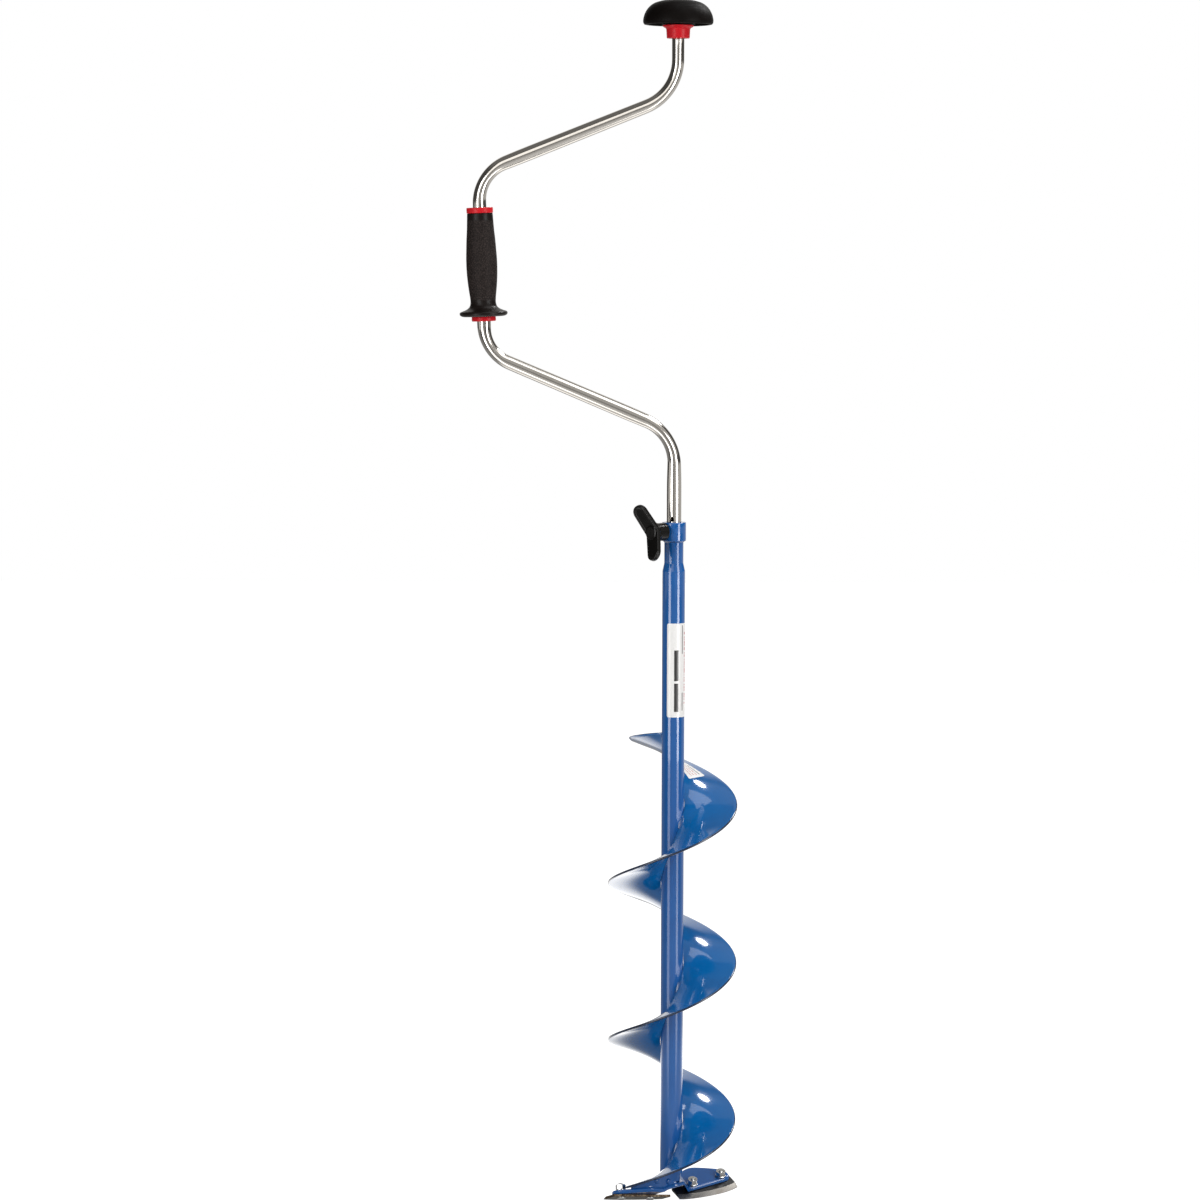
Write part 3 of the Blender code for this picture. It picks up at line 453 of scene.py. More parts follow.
def lathe_mesh(profile, segments=96, closed=True, place=None):
    """Rings of a (radius, height) line; points on the axis become poles."""
    place = place or Matrix.Identity(4)
    verts, rings = [], []
    for r, z in profile:
        if r < 1e-5:
            rings.append([len(verts)] * segments)
            verts.append(place @ Vector((0, 0, z)))
            continue
        ring = []
        for j in range(segments):
            t = 2 * math.pi * j / segments
            ring.append(len(verts))
            verts.append(place @ Vector((r * math.cos(t), r * math.sin(t), z)))
        rings.append(ring)
    faces = []
    pairs = list(zip(rings, rings[1:])) + ([(rings[-1], rings[0])] if closed else [])
    for a, b in pairs:
        for j in range(segments):
            k = (j + 1) % segments
            face = [a[j], a[k], b[k], b[j]]
            face = [v for i, v in enumerate(face) if v not in face[:i]]
            if len(face) > 2:
                faces.append(face)
    return verts, faces


def lathe(name, profile, mat, body, nodes=(), segments=96, closed=True, place=None, smooth=35.0, steps=5):
    verts, faces = lathe_mesh(rounded(profile, closed, steps), segments, closed, place)
    return put(name, verts, faces, mat, body, nodes, smooth)


def at(point, direction=None):
    """A matrix that stands +Z along a direction at a point, both in millimetres."""
    m = Matrix.Translation(Vector(point))
    if direction is not None:
        m = m @ Vector(direction).to_track_quat("Z", "Y").to_matrix().to_4x4()
    return m


def strips(rings, closed_ring=True):
    n = len(rings[0])
    faces = []
    for i in range(len(rings) - 1):
        for j in range(n if closed_ring else n - 1):
            k = (j + 1) % n
            faces.append((i * n + j, i * n + k, (i + 1) * n + k, (i + 1) * n + j))
    return faces


def cut_holes(obj, rods):
    """Cuts straight round holes, each (start, end, radius) in millimetres, and leaves no helper behind."""
    bm = bmesh.new()
    for start, end, radius in rods:
        start, end = Vector(start), Vector(end)
        m = Matrix.Translation((start + end) / 2 * MM) @ (end - start).to_track_quat("Z", "Y").to_matrix().to_4x4()
        bmesh.ops.create_cone(bm, cap_ends=True, cap_tris=False, segments=40, radius1=radius * MM, radius2=radius * MM, depth=(end - start).length * MM, matrix=m)
    mesh = bpy.data.meshes.new("cutters")
    bm.to_mesh(mesh)
    bm.free()
    cutter = bpy.data.objects.new("cutters", mesh)
    SCENE.collection.objects.link(cutter)
    boolean = obj.modifiers.new("Holes", "BOOLEAN")
    boolean.operation = "DIFFERENCE"
    boolean.solver = "EXACT"
    boolean.object = cutter
    bpy.context.view_layer.update()
    bake_modifiers(obj)
    bpy.data.objects.remove(cutter, do_unlink=True)
    bpy.data.meshes.remove(mesh)
    obj.data.set_sharp_from_angle(angle=math.radians(35))
    return obj


def interpolate(table, x):
    """Smooth monotone curve through (x, y) rows."""
    xs, ys = [p[0] for p in table], [p[1] for p in table]
    if x <= xs[0]:
        return ys[0]
    if x >= xs[-1]:
        return ys[-1]
    i = max(k for k in range(len(xs) - 1) if xs[k] <= x)
    slope = [(ys[k + 1] - ys[k]) / (xs[k + 1] - xs[k]) for k in range(len(xs) - 1)]

    def tangent(k):
        if k == 0:
            return slope[0]
        if k == len(xs) - 1:
            return slope[-1]
        a, b = slope[k - 1], slope[k]
        return 0.0 if a * b <= 0 else 2 * a * b / (a + b)

    h = xs[i + 1] - xs[i]
    t = (x - xs[i]) / h
    return (
        ys[i] * (2 * t**3 - 3 * t**2 + 1)
        + ys[i + 1] * (-2 * t**3 + 3 * t**2)
        + h * tangent(i) * (t**3 - 2 * t**2 + t)
        + h * tangent(i + 1) * (t**3 - t**2)
    )


def smooth(t):
    t = min(1.0, max(0.0, t))
    return t * t * (3 - 2 * t)


# ================================================================ shaft, collar, screw
A = math.radians(SCREW_AZIMUTH)
SCREW_DIR = Vector((-math.sin(A), -math.cos(A), 0.0))
SCREW_BASE = Vector((0, 0, SCREW_Z))


def threaded(name, start, direction, z0, z1, radius, depth, pitch, mat, body, nodes, lead=1.0, around=36):
    """A rod with a true helical thread, and a chamfer at each end of it."""
    place = at(start, direction)
    count = max(8, int((z1 - z0) / (pitch / 7)))
    verts, faces = [place @ Vector((0, 0, z0))], []
    for i in range(count + 1):
        z = z0 + (z1 - z0) * i / count
        chamfer = min(1.0, (z - z0) / lead, (z1 - z) / lead)
        for j in range(around):
            t = 2 * math.pi * j / around
            phase = (z / pitch - j / around) % 1.0
            groove = 1.0 - abs(2 * phase - 1.0)
            r = radius - depth * smooth(1.25 * groove - 0.1)
            r = min(r, radius - depth * 1.1 * (1.0 - max(0.0, chamfer)))
            verts.append(place @ Vector((r * math.cos(t), r * math.sin(t), z)))
    last = len(verts)
    verts.append(place @ Vector((0, 0, z1)))
    for j in range(around):
        k = (j + 1) % around
        faces.append((0, 1 + k, 1 + j))
        for i in range(count):
            a, b = 1 + i * around, 1 + (i + 1) * around
            faces.append((a + j, a + k, b + k, b + j))
        faces.append((1 + count * around + j, 1 + count * around + k, last))
    return put(name, verts, faces, mat, body, nodes, 50.0)


def make_shaft():
    tube = lathe(
        "shaft_tube",
        [
            (NECK_BORE_R, NECK_Z1), (NECK_R, NECK_Z1, 0.4), (NECK_R, TAPER_Z1 + 0.4, 4.0), (SHAFT_R, TAPER_Z0 - 0.4, 4.0), (SHAFT_R, 620.0), (SHAFT_R, 560.0), (SHAFT_R, 440.0), (SHAFT_R, 320.0), (SHAFT_R, 200.0), (SHAFT_R, 110.0),
            (SHAFT_R, SHAFT_Z0, 0.5), (SHAFT_BORE_R, SHAFT_Z0, 0.3), (SHAFT_BORE_R, TAPER_Z0 - 2), (NECK_BORE_R, TAPER_Z1 - 2),
        ],
        BLUE, "auger", ["auger_shaft"], 96,
    )
    collar = lathe(
        "collar_boss",
        [
            (8.25, COLLAR_Z1, 0.7), (COLLAR_R, COLLAR_Z1, 1.1), (COLLAR_R + 0.02, COLLAR_Z1 - 10), (COLLAR_R, COLLAR_Z0, 1.3), (NECK_R + 0.15, COLLAR_Z0, 0.2), (NECK_R + 0.15, NECK_Z1 + GAP), (8.25, NECK_Z1 + GAP),
        ],
        BLUE, "auger", ["clamp_collar"], 96,
    )
    for obj in (tube, collar):
        cut_holes(obj, [(SCREW_BASE, SCREW_BASE + SCREW_DIR * 20, STUD_R + 0.25)])
    lathe(
        "shaft_base_plug",
        [(0, 48.0), (9.6, 48.0, 1.4), (9.6, 21.4, 0.8), (4.0, 21.4, 0.4), (3.4, 22.6, 0.4), (0, 22.6)],
        BLUE, "auger", ["shaft_end_plug"], 64, False,
    )
    threaded("screw_stud_thread", SCREW_BASE, SCREW_DIR, 8.1, 27.0, STUD_R, 0.42, 1.25, ZINC, "screw_stud", ["wing_screw_stud"])
    # run of weld that holds the collar on the neck; it takes the darker coat, painted shade under the collar
    rings = []
    for i in range(145):
        t = 2 * math.pi * i / 144
        ripple = 0.10 * math.sin(t * 40) + 0.08 * math.sin(t * 7 + 1)
        out = Vector((math.cos(t), math.sin(t), 0))
        rings.append([out * (NECK_R - 0.1) + Vector((0, 0, COLLAR_Z0 - 1.1 - ripple)), out * (NECK_R + 0.65 + ripple * 0.5) + Vector((0, 0, COLLAR_Z0 - 0.75)), out * (NECK_R + 1.05 + ripple) + Vector((0, 0, COLLAR_Z0 + 0.15)), out * (NECK_R - 0.1) + Vector((0, 0, COLLAR_Z0 + 0.2))])
    put("collar_weld_run", [p for ring in rings[:-1] for p in ring], strips(rings[:-1]) + [(144 * 4 - 4 + j, 144 * 4 - 4 + (j + 1) % 4, (j + 1) % 4, j) for j in range(4)], BLUE_WELD_PAINTED_SHADE, "auger", (), 60)


def stadium(root, tip, flat, long, root_half, tip_r, inset, steps=20):
    """Outline of a paddle, drawn in by inset."""
    line = []
    r = tip_r - inset
    for i in range(steps + 1):
        t = -math.pi / 2 + math.pi * i / steps
        line.append(tip + flat * (r * math.sin(t)) + long * (r * math.cos(t)))
    half = root_half - inset
    n = 14
    for i in range(1, n + 1):
        line.append(line[steps].lerp(root + flat * half, i / n))
    start = line[0].copy()
    for i in range(n):
        line.append((root - flat * half).lerp(start, i / n))
    return line


def make_wing_screw():
    """Hub and two dished paddles moulded as one: built rough, fused by a fine remesh and relaxed."""
    verts, faces = lathe_mesh(
        rounded([(0, HUB_FAR + 0.8), (HUB_R - 0.6, HUB_FAR + 0.4, 3.2), (HUB_R + 0.1, HUB_FAR - 8), (HUB_R + 0.25, HUB_NEAR, 1.3), (STUD_R + 0.35, HUB_NEAR, 0.4), (STUD_R + 0.35, 27.4), (0, 27.4)], False, 6),
        72, False, at(SCREW_BASE, SCREW_DIR),
    )
    d = SCREW_DIR
    side = Vector((0, 0, 1)).cross(d).normalized()
    lean = math.radians(WING_LEAN)
    for sign in (1, -1):
        across = (Vector((0, 0, 1)) * math.cos(lean) - side * math.sin(lean)) * sign
        root = SCREW_BASE + d * (WING_ROOT - 0.4) - across * 1.5
        tip = SCREW_BASE + d * WING_TIP_OUT + across * WING_REACH
        long = (tip - root).normalized()
        flat = d.cross(across).normalized()
        face = long.cross(flat).normalized()
        layers = [(0.0, -0.2), (0.0, 0.2)]
        half = WING_T / 2
        section = [(0.0, 0.0), (0.0, half - 1.3), (0.4, half - 0.4), (1.2, half), (1.9, half), (2.5, half - 0.45), (3.2, half - 1.05), (3.9, half - 1.15)]
        loops = []
        for inset, h in reversed(section[1:]):
            loops.append([p + face * h for p in stadium(root, tip, flat, long, 9.4, WING_TIP_R + 1.7, inset)])
        loops.append([p for p in stadium(root, tip, flat, long, 9.4, WING_TIP_R + 1.7, 0.0)])
        for inset, h in section[1:]:
            loops.append([p - face * h for p in stadium(root, tip, flat, long, 9.4, WING_TIP_R + 1.7, inset)])
        base = len(verts)
        n = len(loops[0])
        verts += [p for loop in loops for p in loop]
        faces += [tuple(base + v for v in f) for f in strips(loops)]
        faces.append(tuple(base + j for j in range(n)))
        faces.append(tuple(base + (len(loops) - 1) * n + j for j in reversed(range(n))))
        # gusset that carries the paddle's root round the hub
        g0 = SCREW_BASE + d * 24.0 + across * 2.0
        g1 = SCREW_BASE + d * (WING_ROOT + 3.2) + across * 10.5
        along = (g1 - g0).normalized()
        other = along.cross(flat).normalized()
        rings = []
        for i in range(9):
            t = i / 8
            c = g0.lerp(g1, t)
            wide, deep = 8.0 - 1.4 * t, 6.2 - 3.4 * t
            rings.append([c + flat * (wide * math.cos(u)) + other * (deep * math.sin(u)) for u in [2 * math.pi * k / 24 for k in range(24)]])
        base = len(verts)
        verts += [p for ring in rings for p in ring]
        faces += [tuple(base + v for v in f) for f in strips(rings)]
        faces.append(tuple(base + j for j in range(24)))
        faces.append(tuple(base + 8 * 24 + j for j in reversed(range(24))))
    obj = put("wing_screw_moulded_head", verts, faces, BLACK_WING, "screw_wing", ["wing_screw_head"])
    remesh = obj.modifiers.new("Fuse", "REMESH")
    remesh.mode = "VOXEL"
    remesh.voxel_size = 0.34 * MM
    remesh.use_smooth_shade = True
    relax = obj.modifiers.new("Relax", "SMOOTH")
    relax.factor = 0.5
    relax.iterations = 7
    bpy.context.view_layer.update()
    bake_modifiers(obj)
    obj.data.materials.clear()
    obj.data.materials.append(BLACK_WING)


# ================================================================ handle
def handle_line():
    """Fine points down the tube's centre line with how far each is flattened."""
    ends = [Vector((0, 0, TUBE_Z0))] + [Vector((x, 0, z)) for x, z, _ in CORNERS] + [Vector((SPINDLE_X, 0, SPINDLE_Z1))]
    keys = [(ends[0], 0.0), (Vector((0, 0, 770.0)), 0.0)]
    for i, (_, _, radius) in enumerate(CORNERS, start=1):
        before = (ends[i] - ends[i - 1]).normalized()
        after = (ends[i + 1] - ends[i]).normalized()
        angle = before.angle(after)
        start = ends[i] - before * (radius * math.tan(angle / 2))
        inward = (after - before * before.dot(after)).normalized()
        centre = start + inward * radius
        steps = 22
        for k in range(steps + 1):
            t = angle * k / steps
            level = math.sin(math.pi * (0.15 + 0.7 * k / steps)) if i < 4 else 0.55 + 0.45 * min(1.0, 2.0 * k / steps)
            keys.append((centre - inward * radius * math.cos(t) + before * radius * math.sin(t), level))
        if i < 4:
            last = keys[-1][0]
            run = (ends[i + 1] - last).length
            keys.append((last + after * 9.0, 0.2))
            if i != 2:
                keys.append((last + after * run * 0.45, 0.35))
    keys += [(Vector((SPINDLE_X, 0, 1225.0)), 1.0), (Vector((SPINDLE_X, 0, SPINDLE_Z1)), 1.0)]
    fine = []
    for (a, fa), (b, fb) in zip(keys, keys[1:]):
        parts = max(1, int((b - a).length / 5.0))
        for k in range(parts):
            fine.append((a.lerp(b, k / parts), fa + (fb - fa) * k / parts))
    fine.append(keys[-1])
    levels = [f for _, f in fine]
    for _ in range(6):
        levels = [levels[0]] + [(levels[i - 1] + 2 * levels[i] + levels[i + 1]) / 4 for i in range(1, len(levels) - 1)] + [levels[-1]]
    return [(p, f) for (p, _), f in zip(fine, levels)]


def tube_rings(line, radius, around):
    rings = []
    for i, (point, flat) in enumerate(line):
        a, b = line[max(i - 1, 0)][0], line[min(i + 1, len(line) - 1)][0]
        along = (b - a).normalized()
        across = Vector((0, 1, 0)).cross(along).normalized()
        narrow = radius - 1.25 * flat
        wide = radius + 0.44 * flat
        wide += (narrow - wide) * smooth((point.z - 1224.0) / 4.0)
        rings.append([point + across * narrow * math.cos(2 * math.pi * j / around) + Vector((0, 1, 0)) * wide * math.sin(2 * math.pi * j / around) for j in range(around)])
    return rings


def make_handle():
    line = handle_line()
    around = 56
    outer, inner = tube_rings(line, TUBE_R, around), tube_rings(line, TUBE_R - TUBE_WALL, around)
    n = len(line) * around
    verts = [p for ring in outer for p in ring] + [p for ring in inner for p in ring]
    faces = strips(outer) + [tuple(n + v for v in reversed(f)) for f in strips(inner)]
    last = (len(line) - 1) * around
    for j in range(around):
        k = (j + 1) % around
        faces.append((j, n + j, n + k, k))
        faces.append((last + k, n + last + k, n + last + j, last + j))
    tube = put("crank_tube", verts, faces, STEEL_TUBE, "crank", ["handle_tube"])
    a = math.radians(HOLE_AZIMUTH)
    out = Vector((-math.sin(a), -math.cos(a), 0))
    cut_holes(tube, [(Vector((0, 0, HOLE_Z - i * HOLE_STEP)) + out * 3, Vector((0, 0, HOLE_Z - i * HOLE_STEP)) + out * 12, HOLE_R) for i in range(HOLES)])
    return tube


def make_knob():
    place = at((SPINDLE_X, 0, 0))
    outer = [
        (18.2, 1264.45), (24.0, 1262.6), (27.6, 1260.5), (30.1, 1258.4), (31.9, 1256.3), (33.3, 1254.2), (34.4, 1252.1), (35.2, 1250.1), (35.8, 1248.0), (36.2, 1246.0), (36.4, 1244.0), (36.15, 1242.0),
    ]
    crown = []
    table = sorted((z, r) for r, z in outer)
    for i in range(41):
        t = i / 40
        z = 1264.45 + (1242.0 - 1264.45) * t**1.5
        crown.append((interpolate(table, z), z))
    profile = [(12.35, 1262.6), (12.35, 1265.2, 0.4), (15.4, 1265.0)] + crown + [(35.2, 1240.5, 0.6), (33.6, 1240.15, 0.4), (31.6, 1240.3, 0.4), (31.0, 1242.6, 0.6), (17.6, 1244.0, 0.8), (17.2, 1240.6, 0.5), (9.7, 1240.4, 0.3), (9.7, 1256.6), (11.0, 1256.6), (11.0, 1262.6)]
    lathe("breast_knob", profile, BLACK_KNOB, "knob", ["handle_knob"], 144, True, place, 30)
    lathe("breast_knob_cap", [(0, 1265.72), (6.0, 1265.66), (11.9, 1265.25, 0.5), (11.9, 1262.9, 0.2), (0, 1262.9)], BLACK_KNOB, "knob", ["knob_cap"], 96, False, place)
    spindle = TUBE_R - 1.25
    lathe(
        "breast_knob_bush",
        [
            (spindle + 0.3, 1256.0), (9.2, 1256.0), (9.2, 1240.0), (15.2, 1239.9, 0.4), (16.3, 1239.5, 0.35), (16.2, 1238.4, 0.6), (12.9, 1236.4, 1.2), (12.35, 1235.0, 0.5), (12.1, 1230.0), (11.95, 1227.0, 0.3), (11.5, 1226.2, 0.5), (spindle + 0.3, 1226.2, 0.5),
        ],
        RED, "knob", ["knob_bush"], 112, True, place,
    )


def make_grip():
    middle = (GRIP_TOP + GRIP_BOTTOM) / 2
    x = -203.3 - (middle - 1054.5) * GRIP_SLOPE
    axis = Vector((-GRIP_SLOPE, 0, 1)).normalized()
    place = Matrix.Translation((x, 0, middle)) @ Matrix.Rotation(-math.atan(GRIP_SLOPE), 4, "Y")
    top, low = GRIP_TOP - middle, GRIP_BOTTOM - middle
    radii = [(0.8, 13.35), (3, 13.5), (8, 13.7), (16, 14.1), (26, 14.9), (38, 15.6), (48, 16.05), (54, 16.1), (62, 15.9), (72, 15.2), (81, 14.2), (87, 13.45), (91, 13.2), (94.5, 13.5), (97.6, 15.2), (99.8, 18.6), (101.2, 22.6), (102.0, 24.4)]
    body = []
    for i in range(86):
        depth = 1.2 + (92.0 - 1.2) * i / 85
        body.append((interpolate(radii, depth), top - depth))
    flare = [(13.35, top - 93.3), (13.75, top - 95.2), (14.6, top - 96.9), (16.1, top - 98.4), (18.4, top - 99.75), (20.9, top - 100.75), (23.2, top - 101.5), (24.5, top - 102.2)]
    profile = [(9.7, top), (12.75, top, 0.35)] + [(13.3, top - 0.35, 0.3)] + body + flare + [(25.1, top - 103.4, 0.6), (24.7, top - 105.2, 0.8), (22.6, top - 106.5, 0.8), (20.6, low, 0.3), (9.9, low), (9.9, low + 22), (8.7, low + 22), (8.7, top - 22), (9.9, top - 22)]
    lathe("hand_grip", profile, GRIP, "grip", ["crank_grip"], 144, True, place, 40)
    for name, node, z, sign, flange, thick in (("hand_grip_bush_top", "grip_bush_upper", top, 1, 13.8, 5.9), ("hand_grip_bush_base", "grip_bush_lower", low, -1, 12.6, 4.9)):
        near, far, deep = z + sign * 0.12, z + sign * thick, z - sign * 20.0
        ring = [(8.25, far, 0.5), (9.6, far, 0.0), (10.2, far - sign * 0.25, 0.2), (flange - 2.2, far - sign * 0.25, 0.2), (flange - 1.6, far, 0.2), (flange, far, 0.9), (flange + 0.05, (far + near) / 2), (flange - 0.1, near, 0.5), (9.5, near), (9.5, deep), (8.25, deep)]
        lathe(name, ring, RED, "grip", [node], 112, True, place)
    return axis


# ================================================================ flight
def helix(radius, degrees, lift=0.0):
    a = math.radians(degrees)
    rise = PITCH / (2 * math.pi)
    radial = Vector((math.sin(a), -math.cos(a), 0))
    tangent = Vector((math.cos(a), math.sin(a), 0))
    point = radial * radius + Vector((0, 0, FLIGHT_FRONT_Z + rise * a))
    return point + (Vector((0, 0, 1)) * radius - tangent * rise).normalized() * lift


def make_flight():
    """One helicoid with a rolled rim and rounded ends; hand forming leaves it a little uneven."""
    half = FLIGHT_T / 2
    inner = SHAFT_R + 0.25
    radii = [inner + (FLIGHT_R - half - inner) * j / 16 for j in range(17)]
    section = [(r, half) for r in radii]
    section += [(FLIGHT_R - half + half * math.cos(t), half * math.sin(t)) for t in [math.pi / 2 - math.pi * k / 10 for k in range(1, 10)]]
    section += [(r, -half) for r in reversed(radii)]
    spans = 460
    rings = []
    for i in range(spans + 1):
        t = i / spans
        ring = []
        for r, lift in section:
            a = FLIGHT_A0 + (interpolate(FLIGHT_END, min(r, 68.15)) - FLIGHT_A0) * t
            wave = noise.noise(Vector((r * 0.028, a * 0.014, 3.1))) * 0.10 * smooth((r - 20) / 40)
            thin = 1.0
            for near in (t * spans * 2.2, (1 - t) * spans * 2.2):
                if near < half:
                    thin = min(thin, math.sqrt(max(0.0, 1 - (1 - near / half) ** 2)) * 0.75 + 0.25)
            ring.append(helix(r, a, lift * thin + wave))
        rings.append(ring)
    n = len(section)
    verts = [p for ring in rings for p in ring]
    faces = strips(rings)
    # rim and end faces take the dark copy of the coat: painted shade along the flight's edge
    slots = [1 if 17 <= f % n <= n - 19 else 0 for f in range(len(faces))]
    top = list(range(17))
    low = [n - 1 - j for j in range(17)]
    for base in (0, spans * n):
        for j in range(16):
            quad = (base + top[j], base + top[j + 1], base + low[j + 1], base + low[j])
            faces.append(quad)
        rim = [base + v for v in range(16, n - 16)]
        faces.append(tuple(rim))
    slots += [1] * (len(faces) - len(slots))
    put("auger_flight", verts, faces, [BLUE_FLIGHT_LIT_COPY, BLUE_RIM_PAINTED_SHADE], "auger", ["spiral_flight"], 40, slots)


def make_welds():
    for number, (a0, a1) in enumerate(WELDS, start=1):
        spans = 72
        for face, tag in ((1, "bead"), (-1, "root")):
            rings = []
            for i in range(spans + 1):
                t = i / spans
                a = a0 + (a1 - a0) * t
                size = 0.30 + 0.70 * math.sin(math.pi * min(1.0, max(0.0, t * 1.02))) ** 0.35
                ripple = 0.5 + 0.5 * math.cos(2 * math.pi * (t * 11 + 0.12 * math.sin(9 * t)))
                wander = noise.noise(Vector((a * 0.06, number * 3.0, face))) * 0.20
                leg = (2.9 + 0.07 * ripple + wander * 0.7) * size
                high = (2.2 + 0.05 * ripple + wander * 0.4) * size
                if face < 0:
                    leg, high = leg * 0.72, high * 0.72
                ring = []
                for k in range(9):
                    u = k / 8 * math.pi / 2
                    belly = 1.0 - 0.16 * math.sin(2 * u)
                    r = SHAFT_R - 0.5 + (leg + 0.5) * math.cos(u) * belly
                    lift = face * (FLIGHT_T / 2 - 0.2 + (high + 0.2) * math.sin(u) * belly)
                    ring.append(helix(r, a, lift))
                ring.append(helix(SHAFT_R - 0.6, a, face * (FLIGHT_T / 2 - 0.3)))
                rings.append(ring)
            n = len(rings[0])
            verts = [p for ring in rings for p in ring]
            faces = strips(rings) + [tuple(range(n)), tuple(range(len(verts) - n, len(verts)))]
            # the beads take the darker copy of the coat: painted shade along the root crease
            put(f"flight_weld_{tag}_{number}", verts, faces, BLUE_WELD_PAINTED_SHADE, "auger", [f"flight_weld_{number}"] if face > 0 else (), 55)
    # painted-over spatter beside the welds
    verts, faces = [], []
    rng = np.random.default_rng(7)
    for number, (a0, a1) in enumerate(WELDS):
        for _ in range(3):
            a = rng.uniform(a0 - 6, a1 + 6)
            r = rng.uniform(17.2, 24.0)
            size = rng.uniform(0.22, 0.45)
            centre = helix(r, a, FLIGHT_T / 2 - 0.05)
            up = (helix(r, a, 1.0) - helix(r, a, 0.0)).normalized()
            v, f = lathe_mesh([(0, size), (size * 0.5, size * 0.86), (size * 0.87, size * 0.5), (size * 1.05, -0.1)], 12, False, at(centre, up))
            faces += [tuple(len(verts) + k for k in face) for face in f]
            verts += v
    put("weld_spatter", verts, faces, BLUE_WELD_PAINTED_SHADE, "auger", (), 80)


# ================================================================ cutting head
def on_blade(s, w, h=0.0, twin=False):
    p = BLADE_A + BLADE_L * s + BLADE_W * w + BLADE_N * h
    return Vector((-p.x, -p.y, p.z)) if twin else p


def blade_section(s):
    """Closed section of a blade across W and N, with each side's material: 0 black, 1 ground, 2 sheared."""
    w = interpolate(BLADE_EDGE, s)
    points = [(0.35, 0.0), (w - BEVEL - 0.15, 0.0), (w - BEVEL + 0.15, -0.06), (w - 0.05, -BLADE_T + 0.22), (w, -BLADE_T + 0.08), (w - 0.05, -BLADE_T), (0.3, -BLADE_T), (0.0, -BLADE_T + 0.3), (0.0, -0.35)]
    kinds = [0, 1, 1, 1, 1, 1, 2, 2, 0]
    return points, kinds


def make_blade(name, node, twin):
    stations = [0.4 + (68.7 - 0.4) * i / 92 for i in range(93)]
    rings, kinds = [], None
    for i, s in enumerate(stations):
        points, kinds = blade_section(s)
        nick = 0.10 * noise.noise(Vector((s * 0.9, 5.0 if twin else 1.0, 0.0)))
        ring = []
        for w, h in points:
            edge = 1.0 if w > interpolate(BLADE_EDGE, s) - 0.5 else 0.0
            ring.append(on_blade(s, w + nick * edge, h, twin))
        rings.append(ring)
    n = len(rings[0])
    verts = [p for ring in rings for p in ring]
    faces = strips(rings)
    slots = [kinds[j] for _ in range(len(rings) - 1) for j in range(n)]
    faces += [tuple(range(n)), tuple(range(len(verts) - n, len(verts)))]
    slots += [0, 2]
    put(name, verts, faces, [BLADE_TOP, ground_steel(name + "_ground", twin), BLADE_BACK], "auger", [node], 20, slots)


def head_height(x, y, lift):
    def seat(px, py):
        return BLADE_A.z + (-(px - BLADE_A.x) * BLADE_N.x - (py - BLADE_A.y) * BLADE_N.y + lift + GAP) / BLADE_N.z

    s = x * 0.87 + y * 0.30
    weight = smooth((abs(s) - 10.5) / 9.5)
    outer = seat(x, y) if s > 0 else seat(-x, -y)
    return WEB_Z + lift + (outer - WEB_Z - lift) * weight


def head_outline():
    front = SEAT_FRONT
    half = [
        (-1.0, -21.0), (5.0, -14.6), (11.0, -8.2), (16.2, -1.0), (18.8, 4.5), on_blade(16.2, front - 1.5).xy, on_blade(17.4, front - 0.2).xy, on_blade(19.5, front).xy,
        on_blade(31.0, front).xy, on_blade(43.0, front).xy, on_blade(54.0, front).xy, on_blade(60.5, front).xy, on_blade(63.5, front - 0.9).xy, on_blade(65.8, front - 3.2).xy, on_blade(66.6, 6.4).xy, (58.6, 41.6), (54.4, 44.0),
        (44.0, 44.4), (32.0, 44.4), (21.0, 43.6), (14.0, 38.5), (7.5, 30.5),
    ]
    half = [Vector((float(p[0]), float(p[1]))) for p in half]
    line = half + [-p for p in half]
    for _ in range(3):
        line = [q for i, p in enumerate(line) for q in (p.lerp(line[(i + 1) % len(line)], 0.25), p.lerp(line[(i + 1) % len(line)], 0.75))]
    length = [0.0]
    for i, p in enumerate(line):
        length.append(length[-1] + (line[(i + 1) % len(line)] - p).length)
    count = int(length[-1] / 1.1)
    out, i = [], 0
    for k in range(count):
        want = length[-1] * k / count
        while length[i + 1] < want:
            i += 1
        t = (want - length[i]) / max(1e-9, length[i + 1] - length[i])
        out.append(line[i].lerp(line[(i + 1) % len(line)], t))
    return out


def inside(point, line):
    x, y = point
    hit = False
    for i in range(len(line)):
        a, b = line[i], line[(i + 1) % len(line)]
        if (a.y > y) != (b.y > y) and x < (b.x - a.x) * (y - a.y) / (b.y - a.y) + a.x:
            hit = not hit
    return hit


